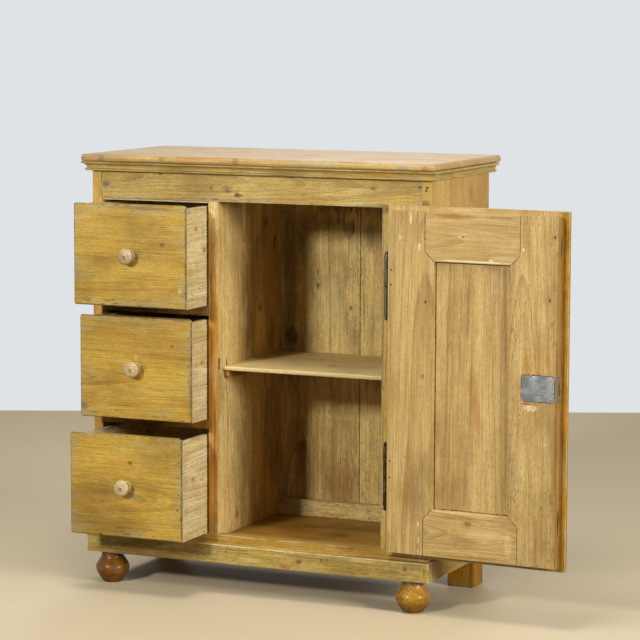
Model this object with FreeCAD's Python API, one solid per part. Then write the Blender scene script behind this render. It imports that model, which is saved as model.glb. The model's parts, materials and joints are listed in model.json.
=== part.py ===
"""Pine cabinet: three drawers on the left, a panelled door on the right, turned front feet.

The model is drawn in carcass coordinates. X runs from the left outer face to the right,
Y from the front plane of the carcass to the back, and Z up from the floor. The drawers are
drawn shut and then pulled out, and the door is drawn shut and then swung open, as it stands.
At the end everything moves together, so that the origin is under the middle of the object.
"""
import FreeCAD, Part
import math
import os

Vector = FreeCAD.Vector
UP = Vector(0, 0, 1)
ALONG_X = Vector(1, 0, 0)
ALONG_Y = Vector(0, 1, 0)
FULL_TURN = 360.0
HALF_TURN = 180.0
QUARTER_TURN = 90.0

# Carcass
CARCASS_WIDTH = 740.0
CARCASS_DEPTH = 313.0
OVERALL_HEIGHT = 880.0
SIDE_THICKNESS = 20.0
PARTITION_THICKNESS = 20.0
DRAWER_BAY_WIDTH = 242.0
RIGHT_STILE_WIDTH = 82.0
FRAME_THICKNESS = 20.0
RAIL_SHOWING = 55.0
BACK_THICKNESS = 10.0
BACK_REBATE_WIDTH = 12.0
BACK_BOTTOM_GAP = 15.0
BACK_TONGUE_LENGTH = 5.0
BACK_TONGUE_THICKNESS = 3.5
BACK_BOARD_SHARES = (0.300, 0.327, 0.373)
BACK_RAIL_HEIGHT = 34.0

# Top board and the moulding under it
TOP_THICKNESS = 15.0
TOP_OVERHANG_SIDE = 15.0
TOP_OVERHANG_FRONT = 25.0
TOP_OVERHANG_BACK = 25.0
TOP_EDGE_RADIUS = 6.0
TOP_CORNER_RADIUS = 7.0
MOULDING_HEIGHT = 18.5
MOULDING_TOP_REACH = 17.5
MOULDING_BOTTOM_REACH = 10.0
MOULDING_FILLET_HEIGHT = 4.0
MOULDING_BEAD_HEIGHT = 5.0
MOULDING_BEAD_SWELL = 1.5
MOULDING_STEP = 1.5
MOULDING_BACK_END = 12.0

# Base and feet
FOOT_HEIGHT = 64.5
BASE_HEIGHT = 39.0
BASE_FRONT_THICKNESS = 20.0
BASE_SIDE_THICKNESS = 7.0
BASE_EDGE_RADIUS = 3.0
BOTTOM_RAIL_SHOWING = 16.0
FLOOR_THICKNESS = 16.0
FLOOR_DROP = 6.0
FOOT_INSET = 36.0
FOOT_SETBACK = 10.0
FOOT_BULB_RADIUS = 34.5
FOOT_DOWEL_RADIUS = 7.0
FOOT_DOWEL_LENGTH = 30.0
# Foot outline, shares of the bulb radius and of the foot height, from the floor up
FOOT_BULB_SHARES = ((0.58, 0.00), (0.995, 0.30), (0.84, 0.68))
FOOT_NECK_SHARES = ((0.84, 0.68), (0.68, 0.86), (0.70, 1.00))
BLOCK_FOOT_SIZE = 56.0
BLOCK_FOOT_INSET = 5.0
BLOCK_FOOT_CHAMFER = 2.0

# Shelf
SHELF_THICKNESS = 8.0
SHELF_RISE = 3.5
SHELF_SETBACK = 22.0
SHELF_EDGE_RADIUS = 2.5
CLEAT_HEIGHT = 17.0
CLEAT_THICKNESS = 11.0
CLEAT_SETBACK = 6.0
CLEAT_CHAMFER = 5.0

# Drawers, counted from the top
DRAWER_PULLS = (83.5, 60.3, 103.8)
DRAWER_OPENING_SHARES = (0.3272, 0.3341, 0.3387)
DIVIDER_THICKNESS = 20.0
GUIDE_STRIP_THICKNESS = 4.0
GUIDE_STRIP_WIDTH = 32.0
GUIDE_STRIP_SETBACK = 4.0
RUNNER_WIDTH = 26.0
DRAWER_RIDE_GAP = 0.3
FRONT_GAP_BELOW = 0.6
FRONT_GAPS_ABOVE = (0.8, 2.4, 5.8)
DRAWER_GAP_LEFT = 2.0
DRAWER_GAP_RIGHT = 4.7
FRONT_THICKNESS = 19.0
FRONT_LIP = 14.0
FRONT_LIP_THICKNESS = 6.0
FRONT_EDGE_RADIUS = 2.5
FRONT_CORNER_RADIUS = 4.0
DRAWER_SIDE_THICKNESS = 12.5
DRAWER_END_GAP = 17.5
DRAWER_SIDE_DROP = 5.5
DRAWER_BACK_DROP = 5.0
DRAWER_BACK_THICKNESS = 12.5
DRAWER_FLOOR_THICKNESS = 10.0

# Turned knobs
KNOB_STEM_RADIUS = 5.0
KNOB_COLLAR_RADIUS = 12.5
KNOB_COLLAR_THICKNESS = 4.0
KNOB_NECK_RADIUS = 7.5
KNOB_NECK_LENGTH = 7.0
KNOB_HEAD_RADIUS = 16.0
KNOB_HEAD_THICKNESS = 14.0
KNOB_DIMPLE_RADIUS = 3.2
KNOB_DIMPLE_DEPTH = 1.6
# Shares of the head's radius and thickness: rim of its face, where it is widest, and dome
KNOB_RIM_SHARE = 0.72
KNOB_WIDEST_SHARE = 0.45
KNOB_DOME_SHARE = 0.12

# Running gap behind the lips of the drawers and the door
LIP_GAP = 0.5

# Door
DOOR_OPEN_ANGLE = 177.5
DOOR_GAP_HINGE = 2.0
DOOR_GAP_LOCK = 2.0
DOOR_GAP_ABOVE = 1.5
DOOR_GAP_BELOW = 3.5
DOOR_THICKNESS = 28.0
DOOR_LIP_THICKNESS = 9.0
DOOR_LIP = 9.0
DOOR_LIP_HINGE = 8.5
STILE_SHOULDER_WIDTH = 78.0
TOP_RAIL_SHOULDER_HEIGHT = 76.0
BOTTOM_RAIL_SHOULDER_HEIGHT = 73.5
BEVEL_WIDTH = 19.0
BEVEL_DEPTH = 8.0
GROOVE_FROM_BEVEL = 3.0
GROOVE_WIDTH = 8.0
GROOVE_DEPTH = 8.0
PANEL_END_GAP = 1.0
PANEL_FIELD_HEIGHT = 5.0
# Outer and inner edge of the slope round the field: shares of the panel's width
PANEL_SLOPE_SHARES = (0.05, 0.20)
TENON_LENGTH = 36.0
TENON_SHOULDER = 14.0
EDGE_STRIP_WIDTH = 14.0
EDGE_STRIP_RADIUS = 3.5

# Loose-pin hinges with a barrel and leaves let into the wood
HINGE_AXIS_FROM_LIP = 5.5
HINGE_AXIS_OUT = 6.0
HINGE_BARREL_RADIUS = 4.5
HINGE_BARREL_LENGTH = 116.0
HINGE_KNUCKLE_GAP = 0.3
HINGE_PIN_RADIUS = 2.5
HINGE_PIN_CLEARANCE = 0.06
HINGE_PIN_LENGTH = 38.0
HINGE_PIN_END_GAP = 1.0
HINGE_LEAF_THICKNESS = 2.0
HINGE_LEAF_END = 6.0
FRAME_LEAF_REACH = 17.0
DOOR_LEAF_REACH = 30.0
HINGE_BELOW_DOOR_TOP = 148.5
HINGE_ABOVE_DOOR_BOTTOM = 144.5
FINIAL_NECK_SHARE = 0.62
FINIAL_BALL_SHARE = 0.92
FINIAL_NECK_HEIGHT = 2.4

# Lock let into the inner face of the door
LOCK_HEIGHT = 49.0
LOCK_RISE = 9.5
LOCK_WIDTH = 72.0
LOCK_DEPTH = 16.0
LOCK_COVER = 2.5
LOCK_PLATE_WIDTH = 66.0
LOCK_PLATE_THICKNESS = 0.8
LOCK_PLATE_RADIUS = 5.0
BOLT_FROM_BACK = 10.5
BOLT_HEIGHT = 20.0
BOLT_THICKNESS = 7.0
BOLT_LENGTH = 34.0
BOLT_THROW = 10.0
BOLT_CLEARANCE = 0.4
BOLT_REST_INSIDE = 0.5
BOLT_MORTISE_CLEARANCE = 1.5
KEYHOLE_RADIUS = 4.0
KEYHOLE_SLOT_WIDTH = 4.0
KEYHOLE_SLOT_LENGTH = 14.0
KEYHOLE_FROM_EDGE = 40.0

OVERRUN = 1.0
SLIVER = 0.01

# Levels and places that follow from the sizes above
TOP_BOTTOM_Z = OVERALL_HEIGHT - TOP_THICKNESS
MOULDING_BOTTOM_Z = TOP_BOTTOM_Z - MOULDING_HEIGHT
OPENING_TOP_Z = MOULDING_BOTTOM_Z - RAIL_SHOWING
BASE_TOP_Z = FOOT_HEIGHT + BASE_HEIGHT
OPENING_BOTTOM_Z = BASE_TOP_Z + BOTTOM_RAIL_SHOWING
FLOOR_TOP_Z = OPENING_BOTTOM_Z - FLOOR_DROP
FLOOR_BOTTOM_Z = FLOOR_TOP_Z - FLOOR_THICKNESS
OPENING_MIDDLE_Z = (OPENING_BOTTOM_Z + OPENING_TOP_Z) / 2
SHELF_TOP_Z = OPENING_MIDDLE_Z + SHELF_RISE
LOCK_CENTRE_Z = OPENING_MIDDLE_Z + LOCK_RISE
BACK_BOTTOM_Z = FOOT_HEIGHT + BACK_BOTTOM_GAP
INNER_DEPTH = CARCASS_DEPTH - BACK_THICKNESS
BAY_LEFT_X = SIDE_THICKNESS
BAY_RIGHT_X = BAY_LEFT_X + DRAWER_BAY_WIDTH
OPENING_LEFT_X = BAY_RIGHT_X + PARTITION_THICKNESS
INNER_RIGHT_X = CARCASS_WIDTH - SIDE_THICKNESS
OPENING_RIGHT_X = INNER_RIGHT_X - RIGHT_STILE_WIDTH
DRAWER_COUNT = len(DRAWER_PULLS)
DRAWER_ZONE = OPENING_TOP_Z - GUIDE_STRIP_THICKNESS - OPENING_BOTTOM_Z
DRAWER_SPACE = DRAWER_ZONE - (DRAWER_COUNT - 1) * DIVIDER_THICKNESS
BOX_LEFT_X = BAY_LEFT_X + DRAWER_GAP_LEFT
BOX_RIGHT_X = BAY_RIGHT_X - DRAWER_GAP_RIGHT
FRONT_LEFT_X = BAY_LEFT_X - FRONT_LIP
FRONT_LIP_Y = -LIP_GAP
FRONT_FACE_Y = FRONT_LIP_Y - FRONT_LIP_THICKNESS
FRONT_BACK_Y = FRONT_FACE_Y + FRONT_THICKNESS
DRAWER_BACK_Y = INNER_DEPTH - DRAWER_END_GAP
KNOB_X = (FRONT_LEFT_X + BOX_RIGHT_X) / 2
DOOR_LIP_Y = -LIP_GAP
DOOR_FACE_Y = DOOR_LIP_Y - DOOR_LIP_THICKNESS
DOOR_BACK_Y = DOOR_FACE_Y + DOOR_THICKNESS
DOOR_LEFT_X = OPENING_LEFT_X + DOOR_GAP_LOCK
DOOR_RIGHT_X = OPENING_RIGHT_X - DOOR_GAP_HINGE
DOOR_BOTTOM_Z = OPENING_BOTTOM_Z + DOOR_GAP_BELOW
DOOR_TOP_Z = OPENING_TOP_Z - DOOR_GAP_ABOVE
DOOR_LIP_RIGHT_X = DOOR_RIGHT_X + DOOR_LIP_HINGE
DOOR_LIP_BOTTOM_Z = DOOR_BOTTOM_Z - DOOR_LIP
DOOR_LIP_TOP_Z = DOOR_TOP_Z + DOOR_LIP
PANEL_LEFT_X = DOOR_LEFT_X + STILE_SHOULDER_WIDTH + BEVEL_WIDTH
PANEL_RIGHT_X = DOOR_RIGHT_X - STILE_SHOULDER_WIDTH - BEVEL_WIDTH
PANEL_BOTTOM_Z = DOOR_BOTTOM_Z + BOTTOM_RAIL_SHOULDER_HEIGHT + BEVEL_WIDTH
PANEL_TOP_Z = DOOR_TOP_Z - TOP_RAIL_SHOULDER_HEIGHT - BEVEL_WIDTH
GROOVE_FRONT_Y = DOOR_FACE_Y + BEVEL_DEPTH + GROOVE_FROM_BEVEL
GROOVE_BACK_Y = GROOVE_FRONT_Y + GROOVE_WIDTH
HINGE_X = DOOR_LIP_RIGHT_X + HINGE_AXIS_FROM_LIP
HINGE_Y = -HINGE_AXIS_OUT
HINGE_UPPER_Z = DOOR_TOP_Z - HINGE_BELOW_DOOR_TOP
HINGE_LOWER_Z = DOOR_BOTTOM_Z + HINGE_ABOVE_DOOR_BOTTOM
LOCK_BACK_Y = DOOR_BACK_Y - LOCK_DEPTH
BOLT_Y = DOOR_BACK_Y - BOLT_FROM_BACK
BOLT_LEFT_X = DOOR_LEFT_X + BOLT_REST_INSIDE


def box(x_from, x_to, y_from, y_to, z_from, z_to):
    """A block between two corners."""
    corner = Vector(x_from, y_from, z_from)
    return Part.makeBox(x_to - x_from, y_to - y_from, z_to - z_from, corner)


def prism(points, reach):
    """A straight solid on a flat outline."""
    outline = Part.makePolygon(points + points[:1])
    return Part.Face(outline).extrude(reach)


def turned(edges, centre, axis):
    """A solid turned about an axis from the edges of half its outline."""
    face = Part.Face(Part.Wire(edges))
    return face.revolve(centre, axis, FULL_TURN)


def rounded(solid, radius, chosen):
    """Rounds the edges whose middle point the test picks."""
    edges = [edge for edge in solid.Edges if chosen(edge.CenterOfMass)]
    return solid.makeFillet(radius, edges)


def frustum(near, far, y_near, y_far):
    """A block that tapers along Y between two rectangles given as left, right, bottom, top."""
    wires = []
    for (left, right, bottom, top), y in ((near, y_near), (far, y_far)):
        corners = [
            Vector(left, y, bottom),
            Vector(right, y, bottom),
            Vector(right, y, top),
            Vector(left, y, top),
        ]
        wires.append(Part.makePolygon(corners + corners[:1]))
    return Part.makeLoft(wires, True, True)


def mirrored(solid):
    """The same piece on the other side of the carcass."""
    return solid.mirror(Vector(CARCASS_WIDTH / 2, 0, 0), ALONG_X)


def make_side():
    """Left side board, with a rebate for the back boards."""
    board = box(0, SIDE_THICKNESS, 0, CARCASS_DEPTH, FOOT_HEIGHT, TOP_BOTTOM_Z)
    rebate = box(
        SIDE_THICKNESS - BACK_REBATE_WIDTH,
        SIDE_THICKNESS + OVERRUN,
        INNER_DEPTH,
        CARCASS_DEPTH + OVERRUN,
        BACK_BOTTOM_Z,
        TOP_BOTTOM_Z + OVERRUN,
    )
    return board.cut(rebate)


def make_partition():
    """Upright between the drawers and the cupboard, notched round both front rails."""
    board = box(BAY_RIGHT_X, OPENING_LEFT_X, 0, INNER_DEPTH, FLOOR_TOP_Z, TOP_BOTTOM_Z)
    over = OVERRUN
    low = box(
        BAY_RIGHT_X - over, OPENING_LEFT_X + over, -over, FRAME_THICKNESS,
        FLOOR_TOP_Z - over, OPENING_BOTTOM_Z,
    )
    high = box(
        BAY_RIGHT_X - over, OPENING_LEFT_X + over, -over, FRAME_THICKNESS,
        OPENING_TOP_Z, TOP_BOTTOM_Z + over,
    )
    reach = BOLT_MORTISE_CLEARANCE
    mortise = box(
        DOOR_LEFT_X - BOLT_THROW - reach,
        OPENING_LEFT_X + over,
        BOLT_Y - BOLT_THICKNESS / 2 - reach,
        BOLT_Y + BOLT_THICKNESS / 2 + reach,
        LOCK_CENTRE_Z - BOLT_HEIGHT / 2 - reach,
        LOCK_CENTRE_Z + BOLT_HEIGHT / 2 + reach,
    )
    return board.cut(low).cut(high).cut(mortise)


def make_top_board():
    """Top board with a rounded nose at the front and both ends."""
    left = -TOP_OVERHANG_SIDE
    right = CARCASS_WIDTH + TOP_OVERHANG_SIDE
    front = -TOP_OVERHANG_FRONT
    back = CARCASS_DEPTH + TOP_OVERHANG_BACK
    board = box(left, right, front, back, TOP_BOTTOM_Z, OVERALL_HEIGHT)
    middle_z = (TOP_BOTTOM_Z + OVERALL_HEIGHT) / 2
    board = rounded(
        board, TOP_CORNER_RADIUS,
        lambda p: abs(p.y - front) < SLIVER and abs(p.z - middle_z) < SLIVER,
    )
    return rounded(
        board, TOP_EDGE_RADIUS,
        lambda p: abs(p.z - middle_z) > SLIVER and abs(p.y - back) > SLIVER,
    )


def moulding_outline():
    """Edges of the moulding in the plane X = 0: fillet, hollow, step and bead."""
    bottom = MOULDING_BOTTOM_Z
    bead_top = bottom + MOULDING_BEAD_HEIGHT
    fillet_bottom = TOP_BOTTOM_Z - MOULDING_FILLET_HEIGHT
    low = MOULDING_BOTTOM_REACH
    high = MOULDING_TOP_REACH - MOULDING_STEP
    hollow_low = low - MOULDING_STEP
    bead_middle = (bottom + bead_top) / 2
    start = Vector(0, 0, bottom)
    bead_start = Vector(0, -low, bottom)
    bead_peak = Vector(0, -low - MOULDING_BEAD_SWELL, bead_middle)
    bead_end = Vector(0, -low, bead_top)
    hollow_start = Vector(0, -hollow_low, bead_top)
    diagonal = 1 / math.sqrt(2)
    hollow_middle = Vector(
        0,
        -hollow_low - (high - hollow_low) * (1 - diagonal),
        bead_top + (fillet_bottom - bead_top) * diagonal,
    )
    hollow_end = Vector(0, -high, fillet_bottom)
    fillet_start = Vector(0, -MOULDING_TOP_REACH, fillet_bottom)
    fillet_end = Vector(0, -MOULDING_TOP_REACH, TOP_BOTTOM_Z)
    finish = Vector(0, 0, TOP_BOTTOM_Z)
    return [
        Part.makeLine(start, bead_start),
        Part.Arc(bead_start, bead_peak, bead_end).toShape(),
        Part.makeLine(bead_end, hollow_start),
        Part.Arc(hollow_start, hollow_middle, hollow_end).toShape(),
        Part.makeLine(hollow_end, fillet_start),
        Part.makeLine(fillet_start, fillet_end),
        Part.makeLine(fillet_end, finish),
        Part.makeLine(finish, start),
    ]


def mitre_block(points):
    """A full-height block over the plan outline of one run of moulding."""
    low = MOULDING_BOTTOM_Z - OVERRUN
    height = MOULDING_HEIGHT + 2 * OVERRUN
    return prism([Vector(x, y, low) for x, y in points], Vector(0, 0, height))


def make_moulding_front():
    """Front run of the moulding, mitred at both ends."""
    face = Part.Face(Part.Wire(moulding_outline()))
    reach = MOULDING_TOP_REACH
    run = face.extrude(Vector(CARCASS_WIDTH + 2 * reach, 0, 0))
    run.translate(Vector(-reach, 0, 0))
    trim = mitre_block([(0, 0), (CARCASS_WIDTH, 0), (CARCASS_WIDTH + reach, -reach), (-reach, -reach)])
    return run.common(trim)


def make_moulding_side():
    """Left run of the moulding, mitred at the front and square at the back."""
    face = Part.Face(Part.Wire(moulding_outline()))
    face.rotate(Vector(0, 0, 0), UP, -QUARTER_TURN)
    reach = MOULDING_TOP_REACH
    back = CARCASS_DEPTH + MOULDING_BACK_END
    face.translate(Vector(0, -reach, 0))
    run = face.extrude(Vector(0, back + reach, 0))
    trim = mitre_block([(0, 0), (-reach, -reach), (-reach, back), (0, back)])
    return run.common(trim)


def make_front_top_rail():
    """Rail across the front under the top, between the sides."""
    return box(BAY_LEFT_X, INNER_RIGHT_X, 0, FRAME_THICKNESS, OPENING_TOP_Z, TOP_BOTTOM_Z)


def make_guide_strip():
    """Thin strip under the rail that keeps the top drawer level."""
    return box(
        BAY_LEFT_X,
        BAY_RIGHT_X,
        GUIDE_STRIP_SETBACK,
        GUIDE_STRIP_SETBACK + GUIDE_STRIP_WIDTH,
        OPENING_TOP_Z - GUIDE_STRIP_THICKNESS,
        OPENING_TOP_Z,
    )


def make_bottom_rail():
    """Rail across the front at the foot, drilled for the dowels of the turned feet."""
    rail = box(BAY_LEFT_X, INNER_RIGHT_X, 0, FRAME_THICKNESS, FOOT_HEIGHT, OPENING_BOTTOM_Z)
    for x in (FOOT_INSET, CARCASS_WIDTH - FOOT_INSET):
        hole = Part.makeCylinder(FOOT_DOWEL_RADIUS, FOOT_DOWEL_LENGTH, Vector(x, FOOT_SETBACK, FOOT_HEIGHT))
        rail = rail.cut(hole)
    return rail


def make_right_stile():
    """Upright that carries the door, slotted for the leaves of the hinges."""
    stile = box(OPENING_RIGHT_X, INNER_RIGHT_X, 0, FRAME_THICKNESS, OPENING_BOTTOM_Z, OPENING_TOP_Z)
    for centre in (HINGE_LOWER_Z, HINGE_UPPER_Z):
        stile = stile.cut(frame_leaf(centre))
    return stile


def make_floor_board():
    """Bottom board behind the bottom rail, under the drawers and the cupboard alike."""
    return box(BAY_LEFT_X, INNER_RIGHT_X, FRAME_THICKNESS, INNER_DEPTH, FLOOR_BOTTOM_Z, FLOOR_TOP_Z)


def opening_height(number):
    """Height of a drawer's opening, counted from the top."""
    return DRAWER_OPENING_SHARES[number] * DRAWER_SPACE


def opening_bottom(number):
    """Level of the lower edge of a drawer's opening, counted from the top."""
    level = OPENING_BOTTOM_Z
    for below in range(number + 1, DRAWER_COUNT):
        level += opening_height(below) + DIVIDER_THICKNESS
    return level


def make_divider(number):
    """Board that carries a drawer and parts it from the next one down."""
    top = opening_bottom(number)
    return box(BAY_LEFT_X, BAY_RIGHT_X, 0, INNER_DEPTH, top - DIVIDER_THICKNESS, top)


def make_runner(left_x):
    """Strip on the floor board that the bottom drawer runs on."""
    return box(left_x, left_x + RUNNER_WIDTH, FRAME_THICKNESS, INNER_DEPTH, FLOOR_TOP_Z, OPENING_BOTTOM_Z)


def make_back_board(number):
    """Upright back board with a groove on its left edge and a tongue on its right."""
    width = CARCASS_WIDTH - 2 * (SIDE_THICKNESS - BACK_REBATE_WIDTH)
    start = SIDE_THICKNESS - BACK_REBATE_WIDTH
    left = start + width * sum(BACK_BOARD_SHARES[:number])
    right = left + width * BACK_BOARD_SHARES[number]
    board = box(left, right, INNER_DEPTH, CARCASS_DEPTH, BACK_BOTTOM_Z, TOP_BOTTOM_Z)
    middle_y = (INNER_DEPTH + CARCASS_DEPTH) / 2
    tongue_front = middle_y - BACK_TONGUE_THICKNESS / 2
    tongue_back = middle_y + BACK_TONGUE_THICKNESS / 2
    if number > 0:
        groove = box(
            left, left + BACK_TONGUE_LENGTH, tongue_front, tongue_back,
            BACK_BOTTOM_Z - OVERRUN, TOP_BOTTOM_Z + OVERRUN,
        )
        board = board.cut(groove)
    if number < len(BACK_BOARD_SHARES) - 1:
        tongue = box(
            right, right + BACK_TONGUE_LENGTH, tongue_front, tongue_back,
            BACK_BOTTOM_Z, TOP_BOTTOM_Z,
        )
        board = board.fuse(tongue)
    return board.removeSplitter()


def make_back_rail():
    """Rail on the cupboard floor against the back boards."""
    return box(
        OPENING_LEFT_X,
        INNER_RIGHT_X,
        INNER_DEPTH - FRAME_THICKNESS,
        INNER_DEPTH,
        FLOOR_TOP_Z,
        FLOOR_TOP_Z + BACK_RAIL_HEIGHT,
    )


def make_shelf():
    """Thin shelf with a worn front edge."""
    shelf = box(
        OPENING_LEFT_X, INNER_RIGHT_X, SHELF_SETBACK, INNER_DEPTH,
        SHELF_TOP_Z - SHELF_THICKNESS, SHELF_TOP_Z,
    )
    middle_x = (OPENING_LEFT_X + INNER_RIGHT_X) / 2
    return rounded(
        shelf, SHELF_EDGE_RADIUS,
        lambda p: abs(p.y - SHELF_SETBACK) < SLIVER and abs(p.x - middle_x) < SLIVER,
    )


def make_cleat():
    """Left cleat under the shelf, with its lower front corner cut off."""
    top = SHELF_TOP_Z - SHELF_THICKNESS
    bottom = top - CLEAT_HEIGHT
    front = SHELF_SETBACK + CLEAT_SETBACK
    points = [
        Vector(OPENING_LEFT_X, front, top),
        Vector(OPENING_LEFT_X, INNER_DEPTH, top),
        Vector(OPENING_LEFT_X, INNER_DEPTH, bottom),
        Vector(OPENING_LEFT_X, front + CLEAT_CHAMFER, bottom),
        Vector(OPENING_LEFT_X, front, bottom + CLEAT_CHAMFER),
    ]
    return prism(points, Vector(CLEAT_THICKNESS, 0, 0))


def make_base_front():
    """Front board of the base, a little longer than the carcass is wide."""
    board = box(
        -BASE_SIDE_THICKNESS, CARCASS_WIDTH + BASE_SIDE_THICKNESS,
        -BASE_FRONT_THICKNESS, 0, FOOT_HEIGHT, BASE_TOP_Z,
    )
    middle_x = CARCASS_WIDTH / 2
    return rounded(
        board, BASE_EDGE_RADIUS,
        lambda p: abs(p.y + BASE_FRONT_THICKNESS) < SLIVER and abs(p.x - middle_x) < SLIVER,
    )


def make_base_side():
    """Left board of the base, on the outside of the side board."""
    return box(-BASE_SIDE_THICKNESS, 0, 0, CARCASS_DEPTH, FOOT_HEIGHT, BASE_TOP_Z)


def foot_point(radius_share, height_share):
    """A point of the foot's outline."""
    return Vector(radius_share * FOOT_BULB_RADIUS, 0, height_share * FOOT_HEIGHT)


def make_turned_foot():
    """Left front foot: a turned bulb under a hollow neck, with its dowel."""
    bulb = [foot_point(*pair) for pair in FOOT_BULB_SHARES]
    neck = [foot_point(*pair) for pair in FOOT_NECK_SHARES]
    dowel_bottom = Vector(FOOT_DOWEL_RADIUS, 0, FOOT_HEIGHT)
    dowel_top = Vector(FOOT_DOWEL_RADIUS, 0, FOOT_HEIGHT + FOOT_DOWEL_LENGTH)
    dowel_middle = Vector(0, 0, FOOT_HEIGHT + FOOT_DOWEL_LENGTH)
    origin = Vector(0, 0, 0)
    edges = [
        Part.makeLine(origin, bulb[0]),
        Part.Arc(*bulb).toShape(),
        Part.Arc(*neck).toShape(),
        Part.makeLine(neck[-1], dowel_bottom),
        Part.makeLine(dowel_bottom, dowel_top),
        Part.makeLine(dowel_top, dowel_middle),
        Part.makeLine(dowel_middle, origin),
    ]
    foot = turned(edges, origin, UP)
    foot.translate(Vector(FOOT_INSET, FOOT_SETBACK, 0))
    return foot


def make_block_foot():
    """Left rear foot: a square block whose inner part runs up behind the side board."""
    left = BLOCK_FOOT_INSET
    right = left + BLOCK_FOOT_SIZE
    back = CARCASS_DEPTH
    front = back - BLOCK_FOOT_SIZE
    low = box(left, right, front, back, 0, FOOT_HEIGHT)
    low = rounded(low, BLOCK_FOOT_CHAMFER, lambda p: p.z < SLIVER)
    high = box(SIDE_THICKNESS, right, front, INNER_DEPTH, FOOT_HEIGHT, FLOOR_BOTTOM_Z)
    return low.fuse(high).removeSplitter()


def arc_from_side(start, end):
    """An arc that leaves its start along Y and bends inwards to its end."""
    inward = start.x - end.x
    ahead = end.y - start.y
    radius = (inward ** 2 + ahead ** 2) / (2 * inward)
    half_angle = math.atan2(abs(ahead), radius - inward) / 2
    side = math.copysign(radius, ahead)
    middle_x = start.x - radius + radius * math.cos(half_angle)
    middle = Vector(middle_x, start.y + side * math.sin(half_angle), 0)
    return Part.Arc(start, middle, end).toShape()


def knob_outline(face_y):
    """Edges of half a knob that stands out from a face towards the front."""
    collar = face_y - KNOB_COLLAR_THICKNESS
    neck = collar - KNOB_NECK_LENGTH
    widest = neck - KNOB_HEAD_THICKNESS * KNOB_WIDEST_SHARE
    tip = neck - KNOB_HEAD_THICKNESS
    rim = Vector(KNOB_HEAD_RADIUS * KNOB_RIM_SHARE, tip + KNOB_HEAD_THICKNESS * KNOB_DOME_SHARE, 0)
    points = [
        Vector(0, face_y + FRONT_THICKNESS, 0),
        Vector(KNOB_STEM_RADIUS, face_y + FRONT_THICKNESS, 0),
        Vector(KNOB_STEM_RADIUS, face_y, 0),
        Vector(KNOB_COLLAR_RADIUS, face_y, 0),
        Vector(KNOB_COLLAR_RADIUS, collar, 0),
        Vector(KNOB_NECK_RADIUS, collar, 0),
        Vector(KNOB_NECK_RADIUS, neck, 0),
        Vector(KNOB_HEAD_RADIUS, widest, 0),
    ]
    dimple_edge = Vector(KNOB_DIMPLE_RADIUS, tip, 0)
    dimple_bottom = Vector(0, tip + KNOB_DIMPLE_DEPTH, 0)
    edges = []
    for start, end in zip(points, points[1:]):
        edges.append(Part.makeLine(start, end))
    edges.append(arc_from_side(points[-1], rim))
    edges.append(Part.makeLine(rim, dimple_edge))
    edges.append(Part.makeLine(dimple_edge, dimple_bottom))
    edges.append(Part.makeLine(dimple_bottom, points[0]))
    return edges


def front_bottom(number):
    """Level of the lower edge of a drawer front."""
    return opening_bottom(number) + FRONT_GAP_BELOW


def front_height(number):
    """Height of a drawer front."""
    return opening_height(number) - FRONT_GAP_BELOW - FRONT_GAPS_ABOVE[number]


def box_bottom(number):
    """Level of the underside of a drawer box."""
    return opening_bottom(number) + DRAWER_RIDE_GAP


def side_bottom(number):
    """Level where the sides of a drawer stand on its floor."""
    return box_bottom(number) + DRAWER_FLOOR_THICKNESS


def side_top(number):
    """Level of the upper edge of a drawer side."""
    return front_bottom(number) + front_height(number) - DRAWER_SIDE_DROP


def pulled(solid, number):
    """Moves a piece of a shut drawer out to where the drawer stands."""
    solid.translate(Vector(0, -DRAWER_PULLS[number], 0))
    return solid


def make_drawer_front(number):
    """Drawer front: a lipped face, and behind it a block between the sides and above the floor."""
    bottom = front_bottom(number)
    top = bottom + front_height(number)
    face = box(FRONT_LEFT_X, BOX_RIGHT_X, FRONT_FACE_Y, FRONT_LIP_Y, bottom, top)
    middle_y = (FRONT_FACE_Y + FRONT_LIP_Y) / 2
    face = rounded(face, FRONT_CORNER_RADIUS, lambda p: abs(p.y - middle_y) < SLIVER)
    face = rounded(face, FRONT_EDGE_RADIUS, lambda p: abs(p.y - FRONT_FACE_Y) < SLIVER)
    block = box(
        BOX_LEFT_X + DRAWER_SIDE_THICKNESS,
        BOX_RIGHT_X - DRAWER_SIDE_THICKNESS,
        FRONT_LIP_Y,
        FRONT_BACK_Y,
        side_bottom(number),
        top,
    )
    stem = Part.makeCylinder(
        KNOB_STEM_RADIUS, FRONT_THICKNESS,
        Vector(KNOB_X, FRONT_FACE_Y, knob_level(number)), ALONG_Y,
    )
    return pulled(face.fuse(block).removeSplitter().cut(stem), number)


def make_drawer_side(number, left_x):
    """Drawer side, nailed behind the face of the front, on the drawer floor."""
    side = box(
        left_x, left_x + DRAWER_SIDE_THICKNESS,
        FRONT_LIP_Y, DRAWER_BACK_Y,
        side_bottom(number), side_top(number),
    )
    return pulled(side, number)


def make_drawer_back(number):
    """Drawer back between the sides, a little lower than they are."""
    back = box(
        BOX_LEFT_X + DRAWER_SIDE_THICKNESS,
        BOX_RIGHT_X - DRAWER_SIDE_THICKNESS,
        DRAWER_BACK_Y - DRAWER_BACK_THICKNESS,
        DRAWER_BACK_Y,
        side_bottom(number),
        side_top(number) - DRAWER_BACK_DROP,
    )
    return pulled(back, number)


def make_drawer_floor(number):
    """Drawer floor nailed on from below, so that its edge shows under the sides."""
    floor = box(
        BOX_LEFT_X, BOX_RIGHT_X,
        FRONT_LIP_Y, DRAWER_BACK_Y,
        box_bottom(number), side_bottom(number),
    )
    return pulled(floor, number)


def knob_level(number):
    """Height of a knob's axis."""
    return front_bottom(number) + front_height(number) / 2


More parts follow.
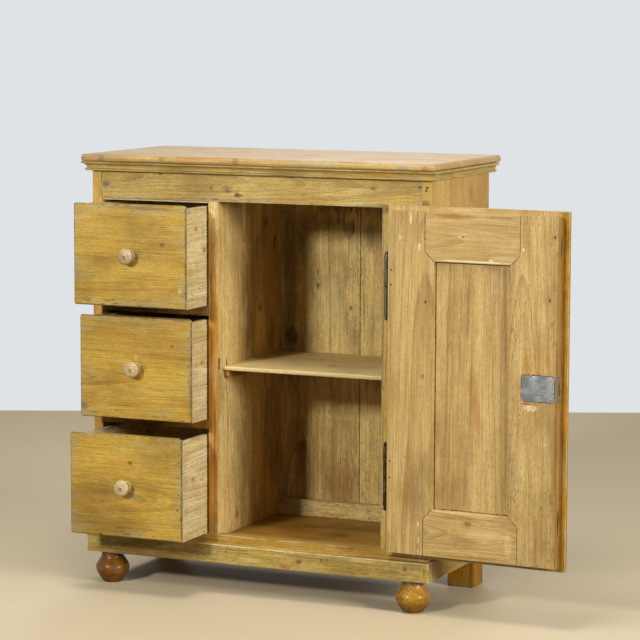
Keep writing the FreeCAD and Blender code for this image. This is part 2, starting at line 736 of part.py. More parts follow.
def make_knob(number):
    """Turned knob whose stem runs through the drawer front."""
    knob = turned(knob_outline(FRONT_FACE_Y), Vector(0, 0, 0), ALONG_Y)
    knob.translate(Vector(KNOB_X, 0, knob_level(number)))
    return pulled(knob, number)


def opened(solid):
    """Swings a piece of the shut door out to where the door stands."""
    solid.rotate(Vector(HINGE_X, HINGE_Y, 0), UP, DOOR_OPEN_ANGLE)
    return solid


def slab(points, y_from, y_to):
    """A flat piece of the door on an outline of X and Z pairs."""
    corners = [Vector(x, y_from, z) for x, z in points]
    return prism(corners, Vector(0, y_to - y_from, 0))


def bevel_cutter():
    """The tapering hollow in front of the panel, which bevels all four frame pieces."""
    spread = BEVEL_WIDTH * (BEVEL_DEPTH + OVERRUN) / BEVEL_DEPTH
    near = (
        PANEL_LEFT_X - spread, PANEL_RIGHT_X + spread,
        PANEL_BOTTOM_Z - spread, PANEL_TOP_Z + spread,
    )
    far = (PANEL_LEFT_X, PANEL_RIGHT_X, PANEL_BOTTOM_Z, PANEL_TOP_Z)
    return frustum(near, far, DOOR_FACE_Y - OVERRUN, DOOR_FACE_Y + BEVEL_DEPTH)


def groove_cutter():
    """The groove round the panel."""
    return box(
        PANEL_LEFT_X - GROOVE_DEPTH, PANEL_RIGHT_X + GROOVE_DEPTH,
        GROOVE_FRONT_Y, GROOVE_BACK_Y,
        PANEL_BOTTOM_Z - GROOVE_DEPTH, PANEL_TOP_Z + GROOVE_DEPTH,
    )


def tenon(shoulder_x, direction, z_from, z_to):
    """Tenon of a door rail, level with the panel's groove."""
    tip = shoulder_x + direction * TENON_LENGTH
    left = min(shoulder_x, tip)
    right = max(shoulder_x, tip)
    return box(left, right, GROOVE_FRONT_Y, GROOVE_BACK_Y, z_from, z_to)


def rail_tenons(z_from, z_to):
    """Both tenons of one rail."""
    left_shoulder = DOOR_LEFT_X + STILE_SHOULDER_WIDTH
    right_shoulder = DOOR_RIGHT_X - STILE_SHOULDER_WIDTH
    return [tenon(left_shoulder, -1, z_from, z_to), tenon(right_shoulder, 1, z_from, z_to)]


def top_tenons():
    """Tenons of the top rail, clear of the groove and of the stile's end."""
    return rail_tenons(PANEL_TOP_Z + BEVEL_WIDTH, DOOR_TOP_Z - TENON_SHOULDER)


def bottom_tenons():
    """Tenons of the bottom rail."""
    return rail_tenons(DOOR_BOTTOM_Z + TENON_SHOULDER, PANEL_BOTTOM_Z - BEVEL_WIDTH)


def framed(blank):
    """Cuts the bevel and the groove that all frame pieces share."""
    return blank.cut(bevel_cutter()).cut(groove_cutter())


def stile_points(outer_x, shoulder_x, inner_x):
    """Outline of a door stile with mitred inner corners."""
    return [
        (outer_x, DOOR_BOTTOM_Z),
        (shoulder_x, DOOR_BOTTOM_Z),
        (shoulder_x, PANEL_BOTTOM_Z - BEVEL_WIDTH),
        (inner_x, PANEL_BOTTOM_Z),
        (inner_x, PANEL_TOP_Z),
        (shoulder_x, PANEL_TOP_Z + BEVEL_WIDTH),
        (shoulder_x, DOOR_TOP_Z),
        (outer_x, DOOR_TOP_Z),
    ]


def make_hinge_stile():
    """Door stile on the hinge side, with lips on three edges."""
    shoulder = DOOR_RIGHT_X - STILE_SHOULDER_WIDTH
    body = slab(stile_points(DOOR_RIGHT_X, shoulder, PANEL_RIGHT_X), DOOR_FACE_Y, DOOR_BACK_Y)
    lip = box(shoulder, DOOR_LIP_RIGHT_X, DOOR_FACE_Y, DOOR_LIP_Y, DOOR_LIP_BOTTOM_Z, DOOR_LIP_TOP_Z)
    stile = framed(body.fuse(lip).removeSplitter())
    for piece in top_tenons() + bottom_tenons():
        stile = stile.cut(piece)
    for centre in (HINGE_LOWER_Z, HINGE_UPPER_Z):
        stile = stile.cut(door_leaf(centre))
    return opened(stile)


def make_lock_stile():
    """Door stile on the free side, hollowed for the lock."""
    shoulder = DOOR_LEFT_X + STILE_SHOULDER_WIDTH
    body = slab(stile_points(DOOR_LEFT_X, shoulder, PANEL_LEFT_X), DOOR_FACE_Y, DOOR_BACK_Y)
    lip = box(DOOR_LEFT_X, shoulder, DOOR_FACE_Y, DOOR_LIP_Y, DOOR_LIP_BOTTOM_Z, DOOR_LIP_TOP_Z)
    stile = framed(body.fuse(lip).removeSplitter())
    for piece in top_tenons() + bottom_tenons():
        stile = stile.cut(piece)
    stile = stile.cut(lock_body_block()).cut(keyhole())
    return opened(stile)


def make_door_rail(at_top):
    """Top or bottom rail of the door, with its tenons and its lip."""
    left = DOOR_LEFT_X + STILE_SHOULDER_WIDTH
    right = DOOR_RIGHT_X - STILE_SHOULDER_WIDTH
    if at_top:
        outer = DOOR_TOP_Z
        lip_edge = DOOR_LIP_TOP_Z
        inner = PANEL_TOP_Z
        corner = PANEL_TOP_Z + BEVEL_WIDTH
        tenons = top_tenons()
    else:
        outer = DOOR_BOTTOM_Z
        lip_edge = DOOR_LIP_BOTTOM_Z
        inner = PANEL_BOTTOM_Z
        corner = PANEL_BOTTOM_Z - BEVEL_WIDTH
        tenons = bottom_tenons()
    points = [
        (left, outer),
        (right, outer),
        (right, corner),
        (PANEL_RIGHT_X, inner),
        (PANEL_LEFT_X, inner),
        (left, corner),
    ]
    body = slab(points, DOOR_FACE_Y, DOOR_BACK_Y)
    low = min(outer, lip_edge)
    high = max(outer, lip_edge)
    lip = box(left, right, DOOR_FACE_Y, DOOR_LIP_Y, low, high)
    rail = framed(body.fuse(lip).removeSplitter())
    for piece in tenons:
        rail = rail.fuse(piece)
    return opened(rail.removeSplitter())


def make_door_panel():
    """Panel with a raised field on its outer face."""
    left, right, bottom, top = panel_opening(PANEL_END_GAP - GROOVE_DEPTH)
    board = box(left, right, GROOVE_FRONT_Y, GROOVE_BACK_Y, bottom, top)
    outer_share, inner_share = PANEL_SLOPE_SHARES
    outer = panel_opening(outer_share * (PANEL_RIGHT_X - PANEL_LEFT_X))
    inner = panel_opening(inner_share * (PANEL_RIGHT_X - PANEL_LEFT_X))
    field = frustum(inner, outer, GROOVE_FRONT_Y - PANEL_FIELD_HEIGHT, GROOVE_FRONT_Y)
    return opened(board.fuse(field).removeSplitter())


def panel_opening(inset):
    """Left, right, bottom and top of the panel's opening, drawn in by a margin all round."""
    return (
        PANEL_LEFT_X + inset, PANEL_RIGHT_X - inset,
        PANEL_BOTTOM_Z + inset, PANEL_TOP_Z - inset,
    )


def make_edge_strip():
    """Strip on the free edge of the door that covers the gap to the partition."""
    left = DOOR_LEFT_X - EDGE_STRIP_WIDTH
    strip = box(left, DOOR_LEFT_X, DOOR_FACE_Y, DOOR_LIP_Y, DOOR_LIP_BOTTOM_Z, DOOR_LIP_TOP_Z)
    strip = rounded(
        strip, EDGE_STRIP_RADIUS,
        lambda p: abs(p.x - left) < SLIVER and abs(p.y - DOOR_FACE_Y) < SLIVER,
    )
    return opened(strip)


def finial_outline(direction):
    """Edges of half a hinge finial: a neck and a ball, above or below a knuckle end at zero."""
    neck_radius = HINGE_BARREL_RADIUS * FINIAL_NECK_SHARE
    ball_radius = HINGE_BARREL_RADIUS * FINIAL_BALL_SHARE
    ball_level = FINIAL_NECK_HEIGHT + math.sqrt(ball_radius ** 2 - neck_radius ** 2)
    origin = Vector(0, 0, 0)
    shoulder = Vector(HINGE_BARREL_RADIUS, 0, 0)
    neck = Vector(neck_radius, 0, direction * FINIAL_NECK_HEIGHT)
    ball = Vector(ball_radius, 0, direction * ball_level)
    tip = Vector(0, 0, direction * (ball_level + ball_radius))
    return [
        Part.makeLine(origin, shoulder),
        Part.makeLine(shoulder, neck),
        Part.Arc(neck, ball, tip).toShape(),
        Part.makeLine(tip, origin),
    ]


def finial(level, direction):
    """Turned end of a hinge barrel."""
    piece = turned(finial_outline(direction), Vector(0, 0, 0), UP)
    piece.translate(Vector(HINGE_X, HINGE_Y, level))
    return piece


def hinge_levels(centre):
    """Bottom of the barrel, middle joint and top of the barrel."""
    half = HINGE_BARREL_LENGTH / 2
    return centre - half, centre, centre + half


def barrel(radius, z_from, z_to):
    """A round piece on the hinge axis."""
    return Part.makeCylinder(radius, z_to - z_from, Vector(HINGE_X, HINGE_Y, z_from))


def frame_leaf(centre):
    """Leaf of the fixed half, straight back into the stile."""
    bottom, middle, top = hinge_levels(centre)
    half = HINGE_LEAF_THICKNESS / 2
    return box(
        HINGE_X - half, HINGE_X + half, HINGE_Y, FRAME_LEAF_REACH,
        bottom + HINGE_LEAF_END, middle - HINGE_LEAF_END,
    )


def door_leaf(centre):
    """Leaf of the moving half, sideways into the stile of the shut door."""
    bottom, middle, top = hinge_levels(centre)
    half = HINGE_LEAF_THICKNESS / 2
    return box(
        HINGE_X - DOOR_LEAF_REACH, HINGE_X, HINGE_Y - half, HINGE_Y + half,
        middle + HINGE_LEAF_END, top - HINGE_LEAF_END,
    )


def make_hinge_frame_half(centre):
    """Fixed half: lower knuckle, pin, finial and leaf."""
    bottom, middle, top = hinge_levels(centre)
    knuckle = barrel(HINGE_BARREL_RADIUS, bottom, middle)
    pin = barrel(HINGE_PIN_RADIUS, middle, middle + HINGE_PIN_LENGTH)
    half = knuckle.fuse(pin).fuse(finial(bottom, -1)).fuse(frame_leaf(centre))
    return half.removeSplitter()


def make_hinge_door_half(centre):
    """Moving half: upper knuckle with its blind bore, finial and leaf."""
    bottom, middle, top = hinge_levels(centre)
    start = middle + HINGE_KNUCKLE_GAP
    bore_end = middle + HINGE_PIN_LENGTH + HINGE_PIN_END_GAP
    bore = barrel(HINGE_PIN_RADIUS + HINGE_PIN_CLEARANCE, start - OVERRUN, bore_end)
    knuckle = barrel(HINGE_BARREL_RADIUS, start, top)
    half = knuckle.fuse(door_leaf(centre)).fuse(finial(top, 1)).removeSplitter()
    return opened(half.cut(bore))


def lock_slice(left_x, y_from, y_to):
    """A slice of the lock, from a given left edge to the lock's right end."""
    return box(
        left_x, DOOR_LEFT_X + LOCK_WIDTH, y_from, y_to,
        LOCK_CENTRE_Z - LOCK_HEIGHT / 2, LOCK_CENTRE_Z + LOCK_HEIGHT / 2,
    )


def plate_left_x():
    """Left edge of the cover plate, short of the door's edge."""
    return DOOR_LEFT_X + LOCK_WIDTH - LOCK_PLATE_WIDTH


def lock_body_block():
    """The space that the lock takes in the door: wood covers it beside the plate."""
    cover_y = DOOR_BACK_Y - LOCK_COVER
    deep = lock_slice(DOOR_LEFT_X, LOCK_BACK_Y, cover_y)
    shallow = lock_slice(plate_left_x(), cover_y, DOOR_BACK_Y)
    return deep.fuse(shallow).removeSplitter()


def keyhole():
    """Keyhole through the outer face of the lock stile."""
    x = DOOR_LEFT_X + KEYHOLE_FROM_EDGE
    depth = LOCK_BACK_Y - DOOR_FACE_Y
    bow = Part.makeCylinder(KEYHOLE_RADIUS, depth, Vector(x, DOOR_FACE_Y, LOCK_CENTRE_Z), ALONG_Y)
    slot = box(
        x - KEYHOLE_SLOT_WIDTH / 2, x + KEYHOLE_SLOT_WIDTH / 2, DOOR_FACE_Y, LOCK_BACK_Y,
        LOCK_CENTRE_Z - KEYHOLE_SLOT_LENGTH, LOCK_CENTRE_Z,
    )
    return bow.fuse(slot)


def bolt_block(grow, extra_left, extra_right):
    """The space of the bolt, grown on its four long sides."""
    half_y = BOLT_THICKNESS / 2 + grow
    half_z = BOLT_HEIGHT / 2 + grow
    return box(
        BOLT_LEFT_X - extra_left, BOLT_LEFT_X + BOLT_LENGTH + extra_right,
        BOLT_Y - half_y, BOLT_Y + half_y,
        LOCK_CENTRE_Z - half_z, LOCK_CENTRE_Z + half_z,
    )


def make_lock_case():
    """Lock case: a closed box with a chamber for the bolt and a cover plate on the door face."""
    plate = lock_slice(plate_left_x(), DOOR_BACK_Y, DOOR_BACK_Y + LOCK_PLATE_THICKNESS)
    middle_y = DOOR_BACK_Y + LOCK_PLATE_THICKNESS / 2
    plate = rounded(plate, LOCK_PLATE_RADIUS, lambda p: abs(p.y - middle_y) < SLIVER)
    chamber = bolt_block(BOLT_CLEARANCE, BOLT_REST_INSIDE + OVERRUN, BOLT_CLEARANCE)
    case = lock_body_block().fuse(plate).removeSplitter().cut(chamber)
    return opened(case)


def make_lock_bolt():
    """Bolt of the lock, drawn back."""
    return opened(bolt_block(0, 0, 0))


def fixed_pieces():
    """Everything that stands still."""
    side = make_side()
    moulding = make_moulding_side()
    cleat = make_cleat()
    base_side = make_base_side()
    turned_foot = make_turned_foot()
    block_foot = make_block_foot()
    cleat_shift = Vector(INNER_RIGHT_X - CLEAT_THICKNESS - OPENING_LEFT_X, 0, 0)
    pieces = {
        "top_board": make_top_board(),
        "moulding_front": make_moulding_front(),
        "moulding_left": moulding,
        "moulding_right": mirrored(moulding),
        "side_left": side,
        "side_right": mirrored(side),
        "partition": make_partition(),
        "front_top_rail": make_front_top_rail(),
        "drawer_guide_strip": make_guide_strip(),
        "right_stile": make_right_stile(),
        "bottom_rail": make_bottom_rail(),
        "floor_board": make_floor_board(),
        "divider_upper": make_divider(0),
        "divider_lower": make_divider(1),
        "runner_left": make_runner(BAY_LEFT_X),
        "runner_right": make_runner(BAY_RIGHT_X - RUNNER_WIDTH),
        "back_board_left": make_back_board(0),
        "back_board_middle": make_back_board(1),
        "back_board_right": make_back_board(2),
        "back_rail": make_back_rail(),
        "shelf": make_shelf(),
        "shelf_cleat_left": cleat,
        "shelf_cleat_right": cleat.translated(cleat_shift),
        "base_front": make_base_front(),
        "base_left": base_side,
        "base_right": mirrored(base_side),
        "foot_front_left": turned_foot,
        "foot_front_right": mirrored(turned_foot),
        "foot_rear_left": block_foot,
        "foot_rear_right": mirrored(block_foot),
        "hinge_upper_frame_half": make_hinge_frame_half(HINGE_UPPER_Z),
        "hinge_lower_frame_half": make_hinge_frame_half(HINGE_LOWER_Z),
    }
    return pieces


def door_pieces():
    """Everything that swings with the door."""
    return {
        "door_hinge_stile": make_hinge_stile(),
        "door_lock_stile": make_lock_stile(),
        "door_top_rail": make_door_rail(True),
        "door_bottom_rail": make_door_rail(False),
        "door_panel": make_door_panel(),
        "door_edge_strip": make_edge_strip(),
        "hinge_upper_door_half": make_hinge_door_half(HINGE_UPPER_Z),
        "hinge_lower_door_half": make_hinge_door_half(HINGE_LOWER_Z),
        "lock_case": make_lock_case(),
        "lock_bolt": make_lock_bolt(),
    }


def drawer_pieces(number):
    """The six pieces of one drawer."""
    name = f"drawer_{number + 1}"
    right_side_x = BOX_RIGHT_X - DRAWER_SIDE_THICKNESS
    return {
        f"{name}_front": make_drawer_front(number),
        f"{name}_left_side": make_drawer_side(number, BOX_LEFT_X),
        f"{name}_right_side": make_drawer_side(number, right_side_x),
        f"{name}_back": make_drawer_back(number),
        f"{name}_floor": make_drawer_floor(number),
        f"{name}_knob": make_knob(number),
    }


def all_pieces():
    """Every piece by name, in carcass coordinates."""
    pieces = fixed_pieces()
    pieces.update(door_pieces())
    for number in range(DRAWER_COUNT):
        pieces.update(drawer_pieces(number))
    return pieces


def middle_of(pieces):
    """The point on the floor under the middle of everything as it stands."""
    bounds = Part.makeCompound(list(pieces.values())).optimalBoundingBox(False, False)
    return Vector((bounds.XMin + bounds.XMax) / 2, (bounds.YMin + bounds.YMax) / 2, 0)


def build():
    """Writes one file per piece and returns the pieces and the shift that was taken off."""
    pieces = all_pieces()
    shift = middle_of(pieces)
    os.makedirs("parts", exist_ok=True)
    for name, solid in pieces.items():
        placed = solid.translated(shift * -1)
        placed.exportStep(os.path.join("parts", f"{name}.step"))
    return pieces, shift


PIECES, SHIFT = build()
print(len(PIECES), "pieces, middle at", round(SHIFT.x, 3), round(SHIFT.y, 3))
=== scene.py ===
# %% [markdown]
# # A pine cabinet, dressed in Blender
# The cabinet is old softwood that was stripped of its paint and waxed. Its solids come from
# the CAD frame, already in place and in metres. This lesson gives each board its own grain,
# knots and wear, and adds the small things that a joiner and a century of use left on it.

# %% Open the frame
import json
import math
import bmesh
import bpy
import numpy as np
from mathutils import Matrix, Vector

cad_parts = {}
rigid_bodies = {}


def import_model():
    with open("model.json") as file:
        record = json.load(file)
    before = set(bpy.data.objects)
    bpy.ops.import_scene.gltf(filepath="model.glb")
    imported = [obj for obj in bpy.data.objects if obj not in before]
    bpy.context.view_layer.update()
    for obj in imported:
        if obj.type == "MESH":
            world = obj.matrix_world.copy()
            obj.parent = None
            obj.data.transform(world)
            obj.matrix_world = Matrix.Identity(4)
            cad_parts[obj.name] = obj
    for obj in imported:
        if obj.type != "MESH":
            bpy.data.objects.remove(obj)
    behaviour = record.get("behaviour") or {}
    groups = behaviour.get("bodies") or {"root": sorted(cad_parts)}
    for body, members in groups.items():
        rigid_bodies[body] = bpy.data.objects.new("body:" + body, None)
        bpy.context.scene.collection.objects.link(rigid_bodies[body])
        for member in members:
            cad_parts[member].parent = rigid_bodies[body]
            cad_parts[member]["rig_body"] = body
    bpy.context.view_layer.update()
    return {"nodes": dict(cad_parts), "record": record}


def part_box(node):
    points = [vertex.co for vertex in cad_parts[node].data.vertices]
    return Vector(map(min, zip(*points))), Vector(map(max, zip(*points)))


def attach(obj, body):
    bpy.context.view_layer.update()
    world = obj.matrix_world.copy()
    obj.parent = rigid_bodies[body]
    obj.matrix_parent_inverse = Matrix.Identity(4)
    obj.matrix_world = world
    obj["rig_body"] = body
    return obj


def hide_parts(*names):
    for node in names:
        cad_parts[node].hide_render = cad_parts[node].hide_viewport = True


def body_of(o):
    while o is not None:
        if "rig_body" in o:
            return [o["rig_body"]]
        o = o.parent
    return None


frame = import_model()
nodes = frame["nodes"]
slot_of = {row["node"]: row["material_slot"] for row in frame["record"]["subparts"]}
print("solids in the frame:", len(nodes))

# %% [markdown]
# ## Where things are
# A maker measures from the cabinet's left end, its front and the floor, in millimetres. The
# frame has its own origin, so one helper turns the maker's measures into the frame's metres.
# It takes its zero from the left side board and the top rail, so it follows the frame. The
# door is measured shut, because its parts line up then, and a second helper swings it open.

# %% Measures from the left end, the front and the floor
MM = 0.001
LEFT_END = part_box("side_left")[0].x
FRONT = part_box("front_top_rail")[0].y
DOOR_OPEN = math.radians(177.5)
HINGE_LINE = np.array([650.0, -6.0])
PULLS = {1: 83.5, 2: 60.3, 3: 103.8}


def turn_flat(angle):
    """The matrix that turns a flat place by an angle, read as rows."""
    return np.array([[math.cos(angle), math.sin(angle)], [-math.sin(angle), math.cos(angle)]])


def at(x, y, z):
    """A place on the carcass: millimetres from the left end, from the front and from the floor."""
    return np.array([LEFT_END + x * MM, FRONT + y * MM, z * MM])


def door_places(points):
    """Closed-door places, carried to where the door stands: turned about the hinge line."""
    there = (points[:, :2] - HINGE_LINE) @ turn_flat(DOOR_OPEN) + HINGE_LINE
    return np.column_stack([there, points[:, 2]]) * MM + np.array([LEFT_END, FRONT, 0.0])


def on_door(x, y, z):
    """One place on the closed door, carried with it."""
    return door_places(np.array([[x, y, z]], float))[0]


def linear(red, green, blue):
    """A screen colour, 0 to 255, as light: (c + 0.055) / 1.055 to the power 2.4."""
    parts = (np.array([red, green, blue]) / 255.0 + 0.055) / 1.055
    return (*(parts ** 2.4), 1.0)


print("left end and front of the carcass:", round(LEFT_END, 4), round(FRONT, 4))

# %% [markdown]
# ## The camera
# The photograph was taken from the right and a little above, with a long lens, so that the
# upright lines stay nearly parallel. The camera comes first, because everything else is
# judged through it.

# %% Set the camera
CAMERA_PLACE = at(2621.8, -4716.3, 1179.7)
LENS, SENSOR = 149.23, 36.0
CAMERA_TURN, CAMERA_TIP, CAMERA_ROLL = 24.156, 6.766, 0.20
FAR_CLIP = 60.0
camera_data = bpy.data.cameras.new("camera")
camera = bpy.data.objects.new("camera", camera_data)
bpy.context.scene.collection.objects.link(camera)
bpy.context.scene.camera = camera
camera_data.sensor_width = SENSOR
camera_data.lens = LENS
camera_data.clip_end = FAR_CLIP
turned = Matrix.Rotation(math.radians(CAMERA_TURN), 4, "Z")
tipped = Matrix.Rotation(math.radians(90.0 - CAMERA_TIP), 4, "X")
rolled = Matrix.Rotation(math.radians(CAMERA_ROLL), 4, "Z")
camera.matrix_world = Matrix.Translation(Vector(CAMERA_PLACE)) @ turned @ tipped @ rolled
print("camera at", [round(v, 3) for v in camera.matrix_world.translation])

# %% [markdown]
# ## A short way to write a finish
# A finish is a chain of nodes. Typed out one by one, the chains hide what they do. So a wire
# is what a node gives out, and a sum on wires lays the node that works it out. The bench
# knows the few nodes that these finishes are made of.


# %% Wires that can be summed
class Wire:
    """A node's output. It can be added, subtracted, multiplied and divided, as numbers or vectors."""

    def __init__(self, bench, socket):
        self.bench = bench
        self.socket = socket

    def work(self, operation, *others, clamp=False):
        """Any other sum, by its name in Blender."""
        return self.bench.sum(operation, self, *others, clamp=clamp)

    def __add__(self, other):
        return self.work("ADD", other)

    def __sub__(self, other):
        return self.work("SUBTRACT", other)

    def __rsub__(self, other):
        return self.bench.sum("SUBTRACT", other, self)

    def __mul__(self, other):
        return self.work("MULTIPLY", other)

    def __truediv__(self, other):
        return self.work("DIVIDE", other)


# %% A bench for laying nodes
class Bench:
    """Lays nodes in one tree. A value is either a number, a colour, a vector or a wire."""

    def __init__(self, tree):
        self.tree = tree

    def lay(self, kind, inputs, out=0, **settings):
        """One node: its settings, then its inputs by name or number. It gives the output that is asked
        for, or the node itself where out is None."""
        node = self.tree.nodes.new(kind)
        for key, value in settings.items():
            setattr(node, key, value)
        for key, value in inputs.items():
            if isinstance(value, Wire):
                self.tree.links.new(value.socket, node.inputs[key])
            else:
                node.inputs[key].default_value = value
        return node if out is None else Wire(self, node.outputs[out])

    def sum(self, operation, *values, clamp=False):
        """A sum on numbers, or on vectors where one of the wires carries a vector."""
        wires = [value for value in values if isinstance(value, Wire)]
        inputs = dict(enumerate(values))
        if all(wire.socket.type == "VALUE" for wire in wires):
            return self.lay("ShaderNodeMath", inputs, operation=operation, use_clamp=clamp)
        return self.lay("ShaderNodeVectorMath", inputs, operation=operation)

    def length(self, vector):
        """How long a vector is."""
        return self.lay("ShaderNodeVectorMath", {0: vector}, 1, operation="LENGTH")

    def vector(self, x, y, z):
        """Three numbers as a vector."""
        return self.lay("ShaderNodeCombineXYZ", {0: x, 1: y, 2: z})

    def parts(self, vector):
        """The three numbers of a vector."""
        node = self.lay("ShaderNodeSeparateXYZ", {0: vector}, None)
        return [Wire(self, socket) for socket in node.outputs]

    def step(self, value, low, high, bottom=0.0, top=1.0):
        """A soft step: bottom below low, top above high, an S curve between."""
        places = {"Value": value, "From Min": low, "From Max": high, "To Min": bottom, "To Max": top}
        return self.lay("ShaderNodeMapRange", places, interpolation_type="SMOOTHSTEP")

    def mix(self, share, first, second, how="MIX"):
        """Two colours: all first at share 0, all second at share 1."""
        places = {0: share, 6: first, 7: second}
        return self.lay("ShaderNodeMix", places, 2, data_type="RGBA", blend_type=how)

    def shade(self, colour, tone):
        """A colour made darker or lighter by a number."""
        return self.mix(1.0, colour, self.vector(tone, tone, tone), "MULTIPLY")

    def cloud(self, place, scale, detail=2.0, rough=0.5, out=0):
        """Smooth noise, about 0.5, with scale lumps to a metre."""
        places = {"Vector": place, "Scale": scale, "Detail": detail, "Roughness": rough}
        return self.lay("ShaderNodeTexNoise", places, out)

    def streaks(self, place, across, along, detail=2.0, rough=0.5, out=0):
        """Noise drawn out with the grain: so many lumps to a metre across it, and so many along."""
        return self.cloud(place * (across, across, along), 1.0, detail, rough, out)

    def group(self, tree, inputs):
        """A node group laid as one node; gives all its outputs by name."""
        node = self.lay("ShaderNodeGroup", inputs, None, node_tree=tree)
        return {socket.name: Wire(self, socket) for socket in node.outputs}

    def give(self, **results):
        """Ends a group with its results, by name."""
        self.lay("NodeGroupOutput", results, None)
        print(self.tree.name, "nodes:", len(self.tree.nodes))

    def finish(self, **inputs):
        """Ends a material: the shader's own sockets, by name with _ for a space."""
        places = {key.replace("_", " "): value for key, value in inputs.items()}
        shader = self.lay("ShaderNodeBsdfPrincipled", places)
        self.lay("ShaderNodeOutputMaterial", {"Surface": shader}, None)


# %% Start a group or a material
SOCKETS = {"F": "NodeSocketFloat", "V": "NodeSocketVector", "C": "NodeSocketColor"}


def new_group(name, inputs, outputs):
    """An empty node group: its bench and what it takes. F is a number, V a vector, C a colour."""
    tree = bpy.data.node_groups.new(name, "ShaderNodeTree")
    for flow, sockets in (("INPUT", inputs), ("OUTPUT", outputs)):
        for label, kind in sockets.items():
            tree.interface.new_socket(label, in_out=flow, socket_type=SOCKETS[kind])
    bench = Bench(tree)
    taken = {socket.name: Wire(bench, socket) for socket in tree.nodes.new("NodeGroupInput").outputs}
    return bench, taken


def new_finish(name):
    """An empty material, its bench, and the wire that carries the piece's own coordinates."""
    material = bpy.data.materials.new(name)
    material.use_nodes = True
    material.node_tree.nodes.clear()
    bench = Bench(material.node_tree)
    return material, bench, bench.lay("ShaderNodeTexCoord", {}, "Object")


print("a group takes and gives:", list(SOCKETS.values()))

# %% [markdown]
# ## A knot
# A knot is the foot of a branch, cut through. The rings of the trunk flow round it, and the
# branch has rings of its own, dark and hard, with a darker rim where its bark was. Drawing it
# on top of the grain would look like a sticker, so this group first pushes the grain aside:
# it moves the point at which the grain is read towards the knot's middle, more so close by.

# %% Make the knot
bench, taken = new_group("knot", {"Place": "V", "Centre": "V", "Size": "F"},
                         {"Push": "V", "Core": "F", "Halo": "F", "Ring": "F"})
across, _, along = bench.parts(taken["Place"] - taken["Centre"])
wobble = bench.cloud(taken["Place"] + taken["Centre"], 55.0)
far = bench.length(bench.vector(across, 0.0, along * 0.72)) / taken["Size"] + (wobble - 0.5) * 0.9
near = (far * far * -0.22).work("EXPONENT")
rings = (far * 13.0).work("SINE")
rim = bench.step((far - 1.0).work("ABSOLUTE"), 0.30, 0.05)
bench.give(Push=bench.vector(across * near * -0.80, taken["Size"] * near * 0.35, 0.0),
           Core=bench.step(far, 1.25, 0.70),
           Halo=bench.step(far, 2.9, 0.9),
           Ring=(rings * 0.25 + rim) * bench.step(far, 1.5, 1.0))
knot_group = bench.tree

# %% [markdown]
# ## A mark
# Stains, filled nail holes, drips and patches of varnish are all the same thing to a painter: a
# ragged spot of another colour, longer one way than the other. A few such spots paint shade,
# shadow and a highlight instead. The group measures how far a point lies from the spot's middle,
# in units of the spot's own reach, and frays the edge with noise. Its depth keeps it on one face,
# so that it doesn't come out on the other side.

# %% Make the mark
bench, taken = new_group(
    "mark", {"Place": "V", "Centre": "V", "Reach": "V", "Fray": "F", "Soft": "F"}, {"Share": "F"})
frayed = bench.streaks(taken["Place"] + taken["Centre"], 150.0, 45.0, 3.0, 0.65)
far = bench.length((taken["Place"] - taken["Centre"]) / taken["Reach"]) + (frayed - 0.5) * taken["Fray"]
thin = bench.streaks(taken["Place"], 60.0, 12.0, 3.0, 0.6)
bench.give(Share=bench.step(far, 1.0, 1.0 - taken["Soft"]) * bench.step(thin, 0.30, 0.56, 0.45))
mark_group = bench.tree

# %% [markdown]
# ## Old pine
# A trunk is a stack of cones, one a year. A board is a slice through them, so its lines are
# where the slice meets the cones: straight near the edge of the trunk, long arches near the
# middle. The group measures how far each point of the board is from the trunk's pith, and cuts
# that distance into years. Each year starts pale and soft and ends in a hard amber line.
# Because the grain is worked out in space, the end of a board shows its rings and its edge
# shows its lines. A plain wave texture would be quicker, but it knows nothing of the trunk.

# %% Read the years of the trunk
TREE = {"Place": "V", "Push": "V", "Pith": "V", "Lean": "F", "Year": "F", "Seed": "F", "Wander": "F"}
EVEN = (0.5, 0.5, 0.5)
bench, taken = new_group("years", TREE, {"Line": "F", "Seeded": "V"})
seeded = taken["Place"] + bench.vector(taken["Seed"], taken["Seed"], taken["Seed"])
slow = bench.streaks(seeded, 3.0, 1.1, 1.0, out=1) - EVEN
slow = slow * bench.vector(taken["Wander"], taken["Wander"], 0.0)
quick = (bench.streaks(seeded, 26.0, 6.0, out=1) - EVEN) * (0.0026, 0.0026, 0.0)
across, through, along = bench.parts(taken["Place"] + taken["Push"] + (slow + quick))
pith_across, pith_through, _ = bench.parts(taken["Pith"])
side = across - pith_across
deep = through - pith_through - along * taken["Lean"]
years = (side * side + deep * deep).work("SQRT") / taken["Year"]
uneven = {"W": years + taken["Seed"], "Scale": 0.35, "Detail": 2.0}
years = years + bench.lay("ShaderNodeTexNoise", uneven, noise_dimensions="1D") * 4.0
strength = bench.lay("ShaderNodeTexWhiteNoise", {"W": years.work("FLOOR") + taken["Seed"]},
                     noise_dimensions="1D")
part = years.work("FRACT")
swell = bench.step(part, 0.25, 0.90) * bench.step(part, 1.0, 0.93)
bench.give(Line=swell * strength.work("MULTIPLY_ADD", 0.75, 0.25), Seeded=seeded)
years_group = bench.tree

# %% [markdown]
# ## The surface of an old board
# On the years lie the fibres, the open pores, and what a century has left: paler and browner
# patches, short dark dashes and specks that run with the grain, dirt in the corners and along
# the edges, and a grey-blue breath of old paint. Each is its own noise at its own size, because
# one noise alone looks like cloud. Crisp says how strongly the finest of them show.

